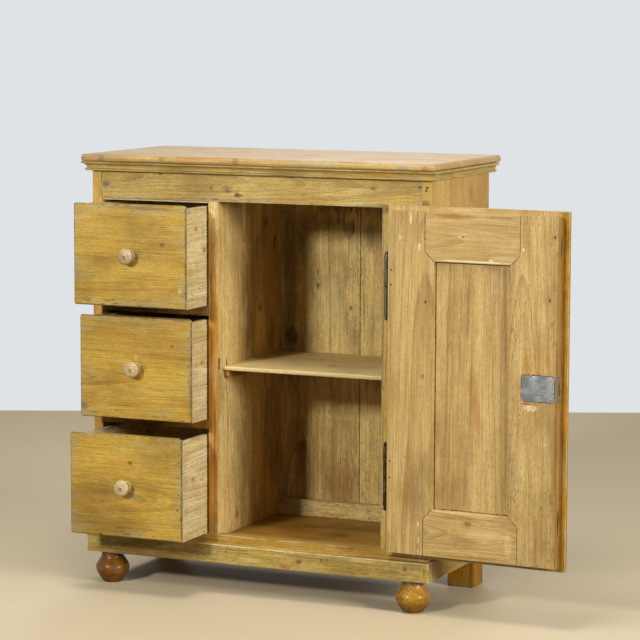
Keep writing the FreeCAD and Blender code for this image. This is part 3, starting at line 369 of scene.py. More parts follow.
# %% Lay the tones of old pine
bench, taken = new_group(
    "old_pine",
    {**TREE, "Core": "F", "Halo": "F", "Ring": "F", "Half": "V", "Early": "C", "Pale": "C",
     "Late": "C", "Dirt": "C", "Paint": "C", "Contrast": "F", "Blotch": "F", "Grime": "F",
     "Specks": "F", "Traces": "F", "Gloss": "F", "Worn": "F", "Crisp": "F"},
    {"Colour": "C", "Roughness": "F", "Height": "F"})
late, dirt, pale = taken["Late"], taken["Dirt"], taken["Pale"]
found = bench.group(years_group, {key: taken[key] for key in TREE})
line, seeded = found["Line"], found["Seeded"]
fibre = bench.streaks(seeded, 620.0, 11.0, 3.0, 0.65)
mottle = bench.streaks(seeded, 42.0, 12.0, 5.0, 0.68)
lines = bench.streaks(seeded, 270.0, 4.2, 4.0, 0.72)
grit = bench.streaks(seeded, 430.0, 150.0, 3.0, 0.75)
warm = bench.streaks(seeded, 17.0, 5.5, 3.0, 0.55)
streak = bench.streaks(seeded, 120.0, 3.4, 5.0, 0.72)
colour = bench.mix(bench.step(mottle, 0.36, 0.70), taken["Early"], pale)
colour = bench.mix(bench.step(warm, 0.50, 0.72, 0.0, 0.38), colour, late)
amount = (line + taken["Halo"] * 0.45).work("MULTIPLY", taken["Contrast"], clamp=True)
colour = bench.mix(amount, colour, late)
colour = bench.mix(bench.step(lines, 0.54, 0.68) * taken["Contrast"] * 0.62, colour, late)
colour = bench.mix(bench.step(lines, 0.45, 0.33, 0.0, 0.42), colour, pale)
fine = (fibre - 0.5) * 1.25 + (grit - 0.5) * 1.05
colour = bench.shade(colour, fine.work("MULTIPLY_ADD", taken["Crisp"], 1.0) + (streak - 0.5) * 0.62)

# %% Fill its pores and stain it
pores = bench.step(bench.streaks(seeded, 1500.0, 110.0, 1.0), 0.64, 0.78)
colour = bench.mix(pores * 0.30, colour, dirt)
dash = bench.streaks(seeded, 360.0, 42.0, 3.0, 0.6)
dashes = bench.step(dash, 0.60, 0.70) * bench.step(mottle, 0.40, 0.62, 0.25)
colour = bench.mix(dashes.work("MULTIPLY", taken["Crisp"] * 0.55, clamp=True), colour, dirt)
blotch = bench.streaks(seeded, 9.0, 4.5, 4.0, 0.6)
stain = bench.step(blotch, 0.44, 0.74) * taken["Blotch"]
colour = bench.mix(stain, colour, dirt)

# %% [markdown]
# ## Where a board wears
# Dirt gathers and paint stays where no cloth reaches, within a few millimetres of an edge, and
# the edge itself is rubbed bare and pale; that pale line is partly wear and partly a painted
# highlight. The group knows half the board's size, so it knows how far a point lies from each
# pair of faces. A point on the surface is nothing from one face, so the middle one of the three
# distances is how far it lies from the nearest edge.

# %% Find the edges, dirty and wear them, and paint a highlight on them
SPECK, BARE_AND_HIGHLIGHT = linear(72, 50, 24), linear(246, 226, 172)
edges = [half - place.work("ABSOLUTE") for place, half in
         zip(bench.parts(taken["Place"]), bench.parts(taken["Half"]))]
edge = edges[0].work("MAXIMUM", edges[1]).work("MINIMUM", edges[2])
edge = edges[0].work("MINIMUM", edges[1]).work("MAXIMUM", edge)
loose = (bench.cloud(seeded, 70.0, 4.0, 0.65) - 0.5) * 0.012
rubbed = bench.step(loose.work("MULTIPLY_ADD", 0.16, edge), 0.0026, 0.0008)
rubbed = rubbed * bench.step(mottle, 0.34, 0.56, 0.25)
edge = edge + loose
near = bench.step(edge, 0.030, 0.0)
grime = bench.step(edge, 0.0032, 0.0).work("MULTIPLY", taken["Grime"], clamp=True)
colour = bench.mix(grime, colour, dirt)
left = (near * bench.step(mottle, 0.42, 0.62)).work("MULTIPLY", taken["Traces"], clamp=True)
colour = bench.mix(left, colour, taken["Paint"])
# The pale line on the arris, brighter than bare wood, is partly wear and partly a painted highlight.
colour = bench.mix(rubbed.work("MULTIPLY", taken["Worn"], clamp=True), colour, bench.mix(0.5, pale, BARE_AND_HIGHLIGHT))
bunch = bench.cloud(seeded, 16.0)
close = (bunch + near * 0.16).work("MULTIPLY_ADD", 0.34, taken["Specks"] * 0.10)
dots = bench.step(bench.streaks(seeded, 520.0, 80.0, 2.0, 0.55) + close, 0.86, 0.94)
dots = dots * taken["Specks"].work("MINIMUM", 1.0)
colour = bench.mix(dots * 0.7, colour, SPECK)

# %% [markdown]
# ## Shine and relief
# Wax shines on the hard lines and is dull in the dirt. The soft early wood has worn lower than
# the hard lines, and that is what the height output says.

# %% End the old pine
heart = bench.mix(0.45, late, dirt)
heart = bench.mix(taken["Ring"].work("MULTIPLY", 1.0, clamp=True), heart, dirt)
rough = (fibre - 0.5).work("MULTIPLY_ADD", 0.30, taken["Gloss"])
bench.give(Colour=bench.mix(taken["Core"] * 0.82, colour, heart),
           Roughness=rough + (grime + stain) * 0.15 - line * 0.08,
           Height=line * 0.35 + fibre * 0.9 + lines * 0.8 - (pores + dots) * 0.6 + taken["Core"] * 0.3)
pine_group = bench.tree

# %% [markdown]
# ## The boards' palettes
# The same tree gave every board, but wax, light and hands have coloured them apart: golden
# ochre on the drawer fronts, paler on the door, nearly bare on the drawer sides, and brown
# inside, where the wood was never cleaned. A palette is the early wood, its palest patches, the
# late wood and the dirt that fills corners.

# %% Mix the palettes
PALETTES = {
    "drawer": ((186, 147, 51), (197, 164, 73), (145, 98, 28), (87, 60, 22)),
    "drawer_side": ((216, 192, 133), (228, 209, 158), (178, 141, 81), (130, 100, 52)),
    "case": ((191, 159, 77), (200, 172, 100), (152, 115, 46), (88, 64, 29)),
    "edge": ((168, 110, 26), (180, 130, 48), (124, 76, 16), (66, 42, 14)),
    "partition": ((217, 184, 109), (227, 200, 136), (175, 132, 67), (97, 63, 26)),
    "back": ((211, 181, 107), (221, 197, 128), (163, 122, 61), (75, 47, 18)),
    "inside_floor": ((163, 114, 39), (176, 135, 59), (113, 74, 21), (57, 35, 10)),
    "shelf": ((215, 190, 127), (224, 204, 147), (178, 145, 86), (116, 87, 45)),
    "door": ((188, 155, 89), (200, 170, 108), (155, 115, 58), (112, 79, 38)),
    "side": ((199, 155, 65), (207, 168, 82), (164, 114, 39), (106, 70, 21)),
    "top": ((188, 149, 79), (201, 170, 104), (174, 122, 56), (107, 70, 30)),
    "base": ((180, 151, 73), (192, 166, 95), (139, 105, 42), (80, 55, 23)),
    # foot_shaded is the foot palette darkened to paint the shade that the drawers cast on the left foot.
    "foot_shaded": ((121, 75, 4), (134, 86, 8), (82, 43, 2), (42, 22, 2)),
    "foot": ((176, 127, 26), (192, 146, 40), (121, 76, 14), (62, 41, 9)),
    "block": ((163, 103, 11), (174, 121, 21), (120, 70, 6), (63, 37, 5)),
    "strip": ((169, 122, 34), (181, 138, 48), (134, 88, 18), (82, 50, 10)),
    "rail": ((170, 129, 42), (184, 146, 61), (131, 90, 23), (78, 50, 13)),
    "knob": ((200, 174, 122), (212, 190, 146), (164, 130, 80), (104, 78, 44)),
}
OLD_PAINT = linear(138, 142, 122)
print("palettes:", len(PALETTES))

# %% [markdown]
# ## One board's finish
# Each board needs the same finish read in its own axes: across the grain, into the face that is
# seen, and along the grain. A Mapping node turns and centres the piece's own coordinates for
# that. Knots are laid before the grain is read, because they push it, and marks after it.

# %% Finish one board
SMALL_REACH, NARROW_REACH = 31, 4.5
CLEAR_RIM, FADING_RIM = {"Fray": 0.8, "Soft": 0.45}, {"Fray": 1.15, "Soft": 0.72}
AXES = {"x": Vector((1, 0, 0)), "y": Vector((0, 1, 0)), "z": Vector((0, 0, 1))}


def board_turn(grain, face, turn=0.0):
    """The board's own axes as angles: its third axis runs with the grain, its second into the face."""
    third = AXES[grain]
    second = AXES[face]
    axes = Matrix((second.cross(third), second, third)).transposed()
    return (Matrix.Rotation(turn, 3, "Z") @ axes).to_euler()


def pine(name, palette, grain, face, low, high, pith=(0.02, 0.06), lean=0.03, year=0.0026, seed=1.0,
         wander=0.016, contrast=0.6, blotch=0.45, grime=0.6, specks=0.5, traces=0.2, gloss=0.5,
         knots=(), marks=(), turn=0.0, coat=0.0, shine=0.18, relief=0.35, worn=0.3, crisp=1.0):
    """One board's finish. A knot is a place in the frame and a radius in millimetres; a mark is a
    place, its reach across, through and along the grain in millimetres, a colour and a strength."""
    material, bench, own = new_finish(name)
    middle = (Vector(low) + Vector(high)) / 2
    angles = board_turn(grain, face, turn)
    place = bench.lay("ShaderNodeMapping", {"Vector": own, "Location": middle, "Rotation": angles},
                      vector_type="TEXTURE")
    size = Matrix.Rotation(-turn, 3, "Z") @ (Vector(high) - Vector(low))
    half = [abs(part) / 2 for part in board_turn(grain, face).to_matrix().transposed() @ size]
    back_turn = angles.to_matrix().transposed()
    push = (0.0, 0.0, 0.0)
    deepest = {"Core": 0.0, "Halo": 0.0, "Ring": 0.0}
    for spot, radius in knots:
        centre = back_turn @ (Vector(spot) - middle)
        found = bench.group(knot_group, {"Place": place, "Centre": centre, "Size": radius * MM})
        push = found["Push"] + push
        deepest = {key: found[key].work("MAXIMUM", value) for key, value in deepest.items()}
    early, pale, late, dirt = [linear(*tone) for tone in PALETTES[palette]]
    wood = bench.group(pine_group, {
        "Place": place, "Push": push, **deepest, "Half": half, "Pith": (*pith, 0.0), "Lean": lean,
        "Year": year, "Seed": seed, "Wander": wander, "Early": early, "Pale": pale, "Late": late,
        "Dirt": dirt, "Paint": OLD_PAINT, "Contrast": contrast, "Blotch": blotch, "Grime": grime,
        "Specks": specks, "Traces": traces, "Gloss": gloss, "Worn": worn, "Crisp": crisp})
    colour = wood["Colour"]
    for spot, reach, paint, strength in marks:
        clear = max(reach) < SMALL_REACH or min(reach[0], reach[2]) < NARROW_REACH
        found = bench.group(mark_group, {
            "Place": place, "Centre": back_turn @ (Vector(spot) - middle),
            "Reach": [part * MM for part in reach], **(CLEAR_RIM if clear else FADING_RIM)})
        colour = bench.mix(found["Share"] * strength, colour, linear(*paint))
    bump = bench.lay("ShaderNodeBump", {"Height": wood["Height"], "Strength": relief, "Distance": 0.0006})
    bench.finish(Base_Color=colour, Roughness=wood["Roughness"], Normal=bump, Coat_Weight=coat,
                 Coat_Roughness=0.12, Specular_IOR_Level=shine)
    return material


print("finish of a board ready, with axes", list(AXES))

# %% [markdown]
# ## Which tree each board came from
# No two boards show the same lines, because the saw met each trunk elsewhere. Each row below
# names a board, its palette, the way its grain runs, the face that is seen, how far its pith
# lies across and behind it, and a seed. The door stands open at an angle, so its grain turns
# with it.


# %% Give every board its grain
def cut(palette, grain, face, pith, seed, **habits):
    """The facts of one board; its pith is a place across it and behind its face, in metres."""
    return dict(palette=palette, grain=grain, face=face, pith=pith, seed=seed, **habits)


BOARDS = {
    "top_board": cut("top", "x", "z", (0.05, -0.09), 3.1, year=0.005),
    "moulding_front": cut("case", "x", "y", (0.0, 0.05), 4.4, blotch=0.8),
    "moulding_left": cut("case", "y", "x", (0.0, 0.05), 4.9, blotch=0.8),
    "moulding_right": cut("case", "y", "x", (0.0, -0.05), 5.2, blotch=0.8),
    "side_left": cut("side", "z", "x", (0.05, 0.06), 6.3),
    "side_right": cut("side", "z", "x", (0.04, -0.05), 7.7),
    "partition": cut("partition", "z", "x", (0.03, -0.06), 8.2),
    "front_top_rail": cut("case", "x", "y", (-0.01, 0.05), 9.1),
    "drawer_guide_strip": cut("drawer_side", "x", "y", (0.0, 0.05), 9.6),
    "right_stile": cut("case", "z", "y", (0.02, 0.06), 10.4),
    "bottom_rail": cut("rail", "x", "y", (0.01, 0.05), 11.3),
    "floor_board": cut("inside_floor", "x", "z", (0.02, -0.08), 12.9),
    "divider_upper": cut("edge", "x", "y", (0.0, 0.05), 13.2),
    "divider_lower": cut("edge", "x", "y", (0.0, 0.06), 13.8),
    "runner_left": cut("case", "y", "z", (0.0, 0.05), 14.2),
    "runner_right": cut("case", "y", "z", (0.0, 0.05), 14.8),
    "back_board_left": cut("back", "z", "y", (0.05, 0.07), 15.4),
    "back_board_middle": cut("back", "z", "y", (-0.03, 0.06), 16.1),
    "back_board_right": cut("back", "z", "y", (0.04, 0.07), 17.5),
    "back_rail": cut("back", "x", "y", (0.0, 0.05), 18.3),
    "shelf": cut("shelf", "x", "z", (0.02, -0.07), 19.4),
    "shelf_cleat_left": cut("inside_floor", "y", "x", (0.0, 0.05), 19.8),
    "shelf_cleat_right": cut("inside_floor", "y", "x", (0.0, 0.05), 20.2),
    "base_front": cut("base", "x", "y", (0.01, 0.05), 21.7),
    "base_left": cut("base", "y", "x", (0.0, 0.05), 22.4),
    "base_right": cut("rail", "y", "x", (0.0, -0.05), 23.5),
    "foot_rear_left": cut("block", "z", "y", (0.03, 0.03), 24.1),
    "foot_rear_right": cut("block", "z", "y", (0.03, 0.03), 25.3),
    "door_hinge_stile": cut("door", "z", "y", (0.03, 0.07), 31.2, year=0.0046),
    "door_lock_stile": cut("door", "z", "y", (-0.02, 0.06), 32.6, year=0.0052, specks=0.75),
    "door_top_rail": cut("door", "x", "y", (0.01, 0.06), 33.4, crisp=0.65),
    "door_bottom_rail": cut("door", "x", "y", (-0.01, 0.05), 34.8, crisp=0.95),
    "door_panel": cut("door", "z", "y", (0.01, 0.05), 35.5, year=0.005),
    "door_edge_strip": cut("strip", "z", "y", (0.0, 0.05), 36.9),
}
print("boards of the carcass and the door:", len(BOARDS))

# %% Turn the door's grain with the door, and cut the drawers' boards
for name, row in BOARDS.items():
    if name.startswith("door"):
        row["turn"] = DOOR_OPEN - math.pi
DRAWER_BOARDS = {
    "front": ("drawer", "x", "y", (0.02, 0.06)),
    "left_side": ("drawer_side", "y", "x", (0.01, 0.06)),
    "right_side": ("drawer_side", "y", "x", (0.01, -0.06)),
    "back": ("drawer_side", "x", "y", (0.01, 0.06)),
    "floor": ("drawer_side", "x", "z", (0.01, 0.06)),
    "knob": ("knob", "y", "z", (0.004, 0.003)),
}
FIRST_SEED, SEED_APART, SEED_BY_LETTER = 40.0, 7.3, 1.37
for number in PULLS:
    for part_name, row in DRAWER_BOARDS.items():
        drawer_seed = FIRST_SEED + SEED_APART * number + len(part_name) * SEED_BY_LETTER
        BOARDS[f"drawer_{number}_{part_name}"] = cut(*row, drawer_seed)
print("boards and knobs in all:", len(BOARDS))

# %% [markdown]
# ## Knots
# Pine has knots where its branches were, a few to a board and most of them small. Each is a
# place and a radius in millimetres: where the photograph shows it, and by guess on the faces
# that it doesn't show.

# %% Set the knots
DOOR_FACE, PANEL_FACE = 18.5, 9.5
KNOTS = {
    "front_top_rail": [(at(32, 0, 820), 3), (at(269, 0, 818), 2.5), (at(304, 0, 815), 3.5),
                       (at(325, 0, 806), 3), (at(619, 0, 828), 3.5), (at(470, 0, 812), 1.5)],
    "top_board": [(at(207, -20, 873), 2.6), (at(333, -20, 874), 2.2), (at(36, -20, 874), 2),
                  (at(560, -20, 874), 2), (at(420, 150, 880), 11), (at(120, 240, 880), 9)],
    "drawer_1_front": [(at(205, -90, 709), 3.5)],
    "drawer_2_front": [(at(215, -67, 505), 2.5)],
    "drawer_3_front": [(at(142, -110, 272), 3.5)],
    "drawer_1_right_side": [(at(257, -8, 695), 5), (at(257, -45, 740), 3.5)],
    "drawer_2_right_side": [(at(257, -20, 470), 5)],
    "drawer_3_right_side": [(at(257, -60, 240), 3)],
    "door_bottom_rail": [(on_door(464, DOOR_FACE, 194), 5)],
    "door_hinge_stile": [(on_door(561, DOOR_FACE, 474), 3)],
    "door_lock_stile": [(on_door(301, DOOR_FACE, 633), 2.5)],
    "partition": [(at(282, 88, 146), 6), (at(282, 200, 560), 5)],
    "back_board_middle": [(at(366, 303, 600), 3), (at(441, 303, 556), 3), (at(330, 303, 260), 5)],
    "back_board_right": [(at(560, 303, 640), 7)],
    "back_board_left": [(at(150, 313, 600), 9), (at(60, 313, 300), 7)],
    "base_front": [(at(470, -20, 84), 4)],
    "side_right": [(at(740, 120, 640), 10), (at(740, 60, 330), 8), (at(740, 230, 200), 6)],
    "side_left": [(at(0, 140, 560), 11), (at(0, 70, 240), 8), (at(0, 250, 700), 6)],
    "shelf": [(at(480, 120, 459), 7)],
    "floor_board": [(at(500, 120, 113), 8)],
}
print("knots:", sum(len(row) for row in KNOTS.values()))

# %% [markdown]
# ## Marks
# These are the stains, drips, worn patches and filled holes that the photograph shows, each set
# one by one, and a few like them on the left side, which it doesn't show. Most of a board's marks
# lie on one face, so they share the plane of that face and how deep they go, and a row gives
# the rest: the two other measures of the place, the reach across and along the grain, a colour
# and a strength. A mark on an edge is given in full.
# A few marks paint shade and shadow instead, and one a highlight, as noted by their rows.

# %% Name the colours of stains and painted shade, and mark a face
BROWN, BLACK, RED, RUST = (74, 46, 18), (34, 24, 16), (150, 92, 30), (134, 82, 28)
PALE, INK, AMBER = (226, 204, 150), (44, 46, 52), (170, 110, 22)


def marks_on(place, axis, plane, depth, rows):
    """Marks on the face where one axis, x, y or z, has the plane's measure."""
    marks = []
    for first, second, across, along, paint, strength in rows:
        measures = [first, second]
        measures.insert("xyz".index(axis), plane)
        marks.append((place(*measures), (across, depth, along), paint, strength))
    return marks


# %% Mark the cupboard's inside
MARKS = {
    "partition": [
        (at(272, 0, 360), (2.4, 300, 380), AMBER, 0.9),
        (at(272, 0, 690), (3, 22, 70), (150, 100, 44), 0.6),
        (at(268, 0, 600), (4, 3, 70), BROWN, 0.55), (at(276, 0, 330), (4, 3, 90), BROWN, 0.6),
        (at(270, 0, 200), (4, 6, 60), (206, 140, 50), 0.6),
        (at(272, 0, 132), (4, 6, 10), (90, 140, 126), 0.4),
    ] + marks_on(at, "x", 282, 3, [
        (41, 461, 3.2, 15, BLACK, 0.95), (148, 707, 2.5, 14, BLACK, 0.8), (269, 691, 6, 20, BROWN, 0.8),
        (226, 736, 8, 14, BROWN, 0.7), (140, 500, 12, 40, BROWN, 0.5), (250, 500, 30, 60, BROWN, 0.5),
        # The broad brown and rust rows on this line and the next darken the face deeper in the cupboard:
        # partly a reddish stain, partly painted shade.
        (250, 300, 60, 200, BROWN, 0.45), (240, 640, 70, 200, RUST, 0.5), (130, 300, 30, 160, RUST, 0.3),
        (150, 600, 42, 240, (112, 68, 28), 0.45), (190, 640, 1.6, 120, BROWN, 0.5),
        (120, 580, 1.6, 150, BROWN, 0.4)]),
    "back_board_middle": marks_on(at, "y", 303, 6, [
        (405, 732, 50, 18, INK, 0.42), (436, 718, 16, 22, INK, 0.5), (350, 730, 30, 34, INK, 0.32),
        (330, 690, 16, 60, INK, 0.3), (424, 735, 3, 26, INK, 0.6), (446, 728, 2.4, 20, INK, 0.7),
        (412, 740, 2.4, 16, INK, 0.6), (395, 560, 2, 50, RUST, 0.5), (430, 520, 2, 60, RUST, 0.5),
        # The mark at 300 mm paints the partition's shadow on this board's left edge.
        (300, 620, 26, 300, BROWN, 0.6), (306, 492, 18, 22, BLACK, 0.6), (366, 628, 2, 9, BLACK, 0.8),
        (365, 600, 2, 6, BLACK, 0.8), (430, 640, 6, 40, RUST, 0.4), (400, 560, 30, 70, PALE, 0.3),
        (420, 778, 90, 34, BROWN, 0.8), (326, 250, 24, 90, BROWN, 0.6), (420, 180, 60, 60, RUST, 0.4),
        (390, 260, 130, 230, (122, 84, 34), 0.5), (340, 420, 60, 40, BROWN, 0.5)]),
    # The back board's left part lies in the partition's shadow, and these brown rows paint that shade.
    "back_board_left": marks_on(at, "y", 303, 6, [
        (275, 600, 40, 420, BROWN, 0.75), (275, 300, 40, 200, BROWN, 0.7)]),
    "back_board_right": marks_on(at, "y", 303, 6, [
        (484, 706, 12, 60, INK, 0.5), (500, 775, 60, 36, BROWN, 0.7), (470, 640, 3, 140, INK, 0.5),
        (500, 420, 40, 60, BROWN, 0.5), (488, 520, 10, 60, (120, 112, 90), 0.5)]),
    "back_rail": marks_on(at, "y", 291, 3, [(500, 120, 4, 6, BLACK, 0.95)]),
    "shelf": [(at(480, 10, 452), (60, 3, 200), (150, 112, 52), 0.3)],
}
print("marks inside the cupboard:", sum(len(row) for row in MARKS.values()))

# %% Mark the front, the sides and the top
MARKS.update({
    "front_top_rail": marks_on(at, "y", 0, 3, [
        (31, 820, 9, 10, (120, 96, 84), 0.8), (303, 816, 9, 18, (126, 108, 74), 0.6),
        (300, 821, 1.4, 13, BLACK, 0.6), (308, 812, 1.4, 9, BLACK, 0.7), (322, 811, 1.2, 8, BLACK, 0.6),
        (328, 806, 5, 12, BLACK, 0.6), (277, 796, 2.5, 9, BLACK, 0.7), (208, 815, 1.2, 22, BLACK, 0.6),
        (154, 844, 4, 8, BLACK, 0.6), (716, 834, 4, 5, BLACK, 0.8), (655, 795, 5, 36, (84, 62, 26), 0.75),
        (600, 793, 3, 40, BROWN, 0.5)]),
    "right_stile": marks_on(at, "y", 0, 3, [
        (652, 788, 40, 10, (96, 74, 32), 0.7), (640, 560, 3, 200, BROWN, 0.4)]),
    "base_front": marks_on(at, "y", -20, 3, [
        # The first mark below and the last one paint the shadow that the drawers cast on the base's left
        # part.
        (170, 85, 60, 170, (112, 76, 30), 0.5), (441, 71, 5, 15, (166, 98, 62), 0.75),
        (532, 93, 2, 3, BLACK, 0.8), (364, 78, 6, 30, (206, 184, 124), 0.5),
        (600, 98, 5, 60, (206, 180, 110), 0.5), (738, 84, 12, 2.4, BROWN, 0.4),
        (140, 74, 26, 160, (92, 62, 24), 0.55)]),
    "base_right": marks_on(at, "x", 740, 6, [(90, 84, 40, 140, (150, 90, 40), 0.8)]),
    "side_right": [
        (at(731, 0, 820), (3, 16, 44), (186, 154, 74), 0.95), (at(731, 0, 833), (4, 4, 3.5), BLACK, 0.9),
        (at(729, 0, 827), (4, 3, 3), BLACK, 0.9), (at(726, 0, 800), (5, 14, 12), BROWN, 0.6),
        (at(740, 225, 480), (0.7, 6, 900), BROWN, 0.85),
        (at(740, 275, 480), (58, 6, 700), (166, 120, 52), 0.45),
        (at(740, 214, 815), (7, 4, 30), BROWN, 0.35)],
    "side_left": [
        (at(0, 225, 480), (0.7, 6, 900), BROWN, 0.85), (at(0, 270, 480), (58, 6, 700), (166, 120, 52), 0.4),
        (at(0, 30, 560), (20, 4, 120), RUST, 0.3)],
    "top_board": [
        (at(34, -25, 873), (10, 8, 9), (110, 96, 80), 0.6),
        (at(170, -25, 874), (6, 6, 9), (120, 100, 78), 0.55),
        (at(333, -25, 874), (8, 8, 9), (112, 88, 62), 0.6),
        (at(690, -25, 871), (5, 8, 14), (150, 134, 110), 0.6),
        (at(736, -24, 871), (6, 8, 10), (116, 86, 56), 0.5),
    ] + marks_on(at, "z", 880, 3, [
        (300, 60, 18, 160, (196, 128, 76), 0.5), (560, 120, 22, 130, (200, 136, 86), 0.5),
        (120, 200, 26, 150, (196, 134, 84), 0.4), (430, 250, 30, 200, (188, 150, 118), 0.5),
        (650, 40, 14, 80, (196, 132, 84), 0.5), (200, 0, 20, 140, (196, 170, 140), 0.4)]),
})
print("boards of the carcass with marks:", len(MARKS))

# %% Mark the door
OLD_GLUE, HONEY = (226, 196, 136), (146, 102, 40)
MARKS.update({
    "door_hinge_stile": marks_on(on_door, "y", DOOR_FACE, 2, [
        (588, 777, 3, 15, PALE, 0.9), (570, 722, 3.5, 9, PALE, 0.85),
        (611, 739, 4, 5, (214, 196, 150), 0.7), (556, 617, 3, 4, BROWN, 0.9),
        (568, 184, 2.5, 7, PALE, 0.75), (567, 153, 3, 8, PALE, 0.75), (568, 131, 2.5, 5, PALE, 0.6),
        (590, 320, 1.2, 40, BROWN, 0.35), (617, 455, 1.0, 12, BROWN, 0.6),
        (603, 290, 1.0, 18, RUST, 0.6), (596, 480, 8, 60, (160, 116, 52), 0.5)]),
    "door_top_rail": marks_on(on_door, "y", DOOR_FACE, 2, [
        (496, 783, 7, 62, HONEY, 0.8), (400, 784, 3, 40, BROWN, 0.4),
        # The pale line at 698.5 along the rail's lower edge is a painted highlight.
        (460, 698.5, 2.6, 90, (240, 220, 162), 0.75), (479, 745, 1.6, 3, BLACK, 0.95),
        (486, 745, 1.5, 5, PALE, 0.7), (421, 702, 3, 5, PALE, 0.9)]),
    "door_lock_stile": marks_on(on_door, "y", DOOR_FACE, 2, [
        (355, 726, 3.5, 4, PALE, 0.95), (301, 633, 2.5, 4, BROWN, 0.9), (296, 588, 4, 7, RED, 0.7),
        (292, 752, 2.5, 4, BROWN, 0.9), (323, 465, 42, 34, (122, 82, 36), 0.6),
        (338, 427, 17, 8, PALE, 0.95), (344, 435, 16, 3, RED, 0.7), (346, 424, 1.6, 7, RED, 0.7),
        (332, 429, 1.6, 6, RED, 0.6),
        (346, 500, 12, 15, (174, 126, 46), 0.75), (347, 516, 7, 17, (176, 128, 48), 0.75),
        (348, 530, 3.4, 13, (176, 128, 48), 0.65), (304, 520, 6, 18, (168, 120, 44), 0.6),
        (291, 640, 5, 130, (150, 104, 44), 0.55), (290, 330, 5, 150, (150, 104, 44), 0.5),
        (286, 470, 2.2, 330, BROWN, 0.6),
    ]) + [
        (on_door(284, 9, 456), (1.6, 300, 4000), (155, 110, 42), 0.85),
        (on_door(284, 17.3, 456), (2.2, 0.9, 4000), BLACK, 0.65),
        (on_door(284, 4, 456), (2.2, 1.1, 4000), (84, 50, 16), 0.7),
        (on_door(284, 6, 735), (3, 5, 27), BROWN, 0.9), (on_door(284, 6, 210), (3, 5, 33), BROWN, 0.9)],
    "door_bottom_rail": marks_on(on_door, "y", DOOR_FACE, 2, [
        (460, 213, 2.6, 90, (240, 218, 160), 0.6), (490, 204, 6, 56, (146, 102, 46), 0.6),
        (430, 172, 15, 60, OLD_GLUE, 0.5), (460, 129, 5, 120, (120, 84, 36), 0.5),
        (380, 160, 30, 9, OLD_GLUE, 0.4)]),
    "door_panel": marks_on(on_door, "y", PANEL_FACE, 3, [
        (470, 600, 1.5, 80, (128, 84, 34), 0.6), (477, 640, 1.3, 60, (128, 84, 34), 0.5),
        (463, 500, 1.6, 110, (128, 84, 34), 0.5), (486, 560, 1.2, 90, (140, 96, 42), 0.5),
        (452, 420, 9, 120, (168, 116, 48), 0.5), (500, 400, 5, 150, (158, 110, 50), 0.4),
        (467, 640, 12, 60, (140, 96, 38), 0.5), (462, 430, 10, 150, (146, 100, 42), 0.5),
        (480, 300, 14, 90, (158, 112, 50), 0.45), (420, 690, 20, 12, (120, 100, 70), 0.4)]),
})
print("boards with marks, the door's among them:", len(MARKS))

# %% Mark the drawers
MARKS.update({
    "drawer_1_front": marks_on(at, "y", -90, 3, [
        (206, 744, 1.4, 8, BROWN, 0.9), (244, 618, 7, 5, PALE, 0.8), (142, 688, 0.9, 26, BROWN, 0.8),
        (60, 688, 0.8, 40, BROWN, 0.7), (36, 594, 5, 14, (96, 104, 88), 0.7),
        (248, 612, 8, 8, (128, 134, 118), 0.7), (150, 640, 1.0, 30, BROWN, 0.6),
        # The band along the top of this front, at 780, is painted shade.
        (150, 780, 6, 110, (120, 92, 56), 0.6)]),
    "drawer_2_front": marks_on(at, "y", -67, 3, [
        (133, 478, 8, 6, (206, 186, 124), 0.7), (101, 482, 5, 5, (200, 182, 120), 0.5),
        # The band at (120, 545), along the top of this front, is painted shade.
        (253, 420, 70, 2.0, (84, 94, 90), 0.6), (120, 545, 6, 90, (120, 92, 56), 0.5),
        (251, 468, 4, 3.4, INK, 0.5), (14, 374, 8, 13, INK, 0.45), (100, 380, 1.0, 40, BROWN, 0.6),
        (180, 470, 1.0, 24, BROWN, 0.5)]),
    "drawer_3_front": marks_on(at, "y", -110, 3, [
        (248, 185, 3, 4, BLACK, 0.9), (249, 250, 2.2, 3, BROWN, 0.9),
        # The grey patch at (150, 204), below and right of the knob, paints the knob's shadow.
        (150, 204, 8, 10, (120, 130, 112), 0.6), (150, 140, 3, 60, BROWN, 0.5)]),
    "drawer_1_right_side": marks_on(at, "x", 257, 3, [
        (-76, 774, 7, 12, (128, 150, 134), 0.5), (-14, 733, 14, 10, (134, 156, 136), 0.45),
        (-40, 660, 16, 10, (150, 160, 130), 0.35), (-60, 608, 4, 8, (120, 150, 140), 0.5),
        (-40, 589, 5, 50, BROWN, 0.55)]),
})
print("boards with marks, the drawers' among them:", len(MARKS))

# %% [markdown]
# ## What hands do to a drawer
# Fingers have darkened the wood round each knob and scratched its face. The front's right end,
# left end and foot are outlined with dirt, and its foot has short dark scuffs from years of
# being pushed shut. These follow the size of each front, so a loop sets them.

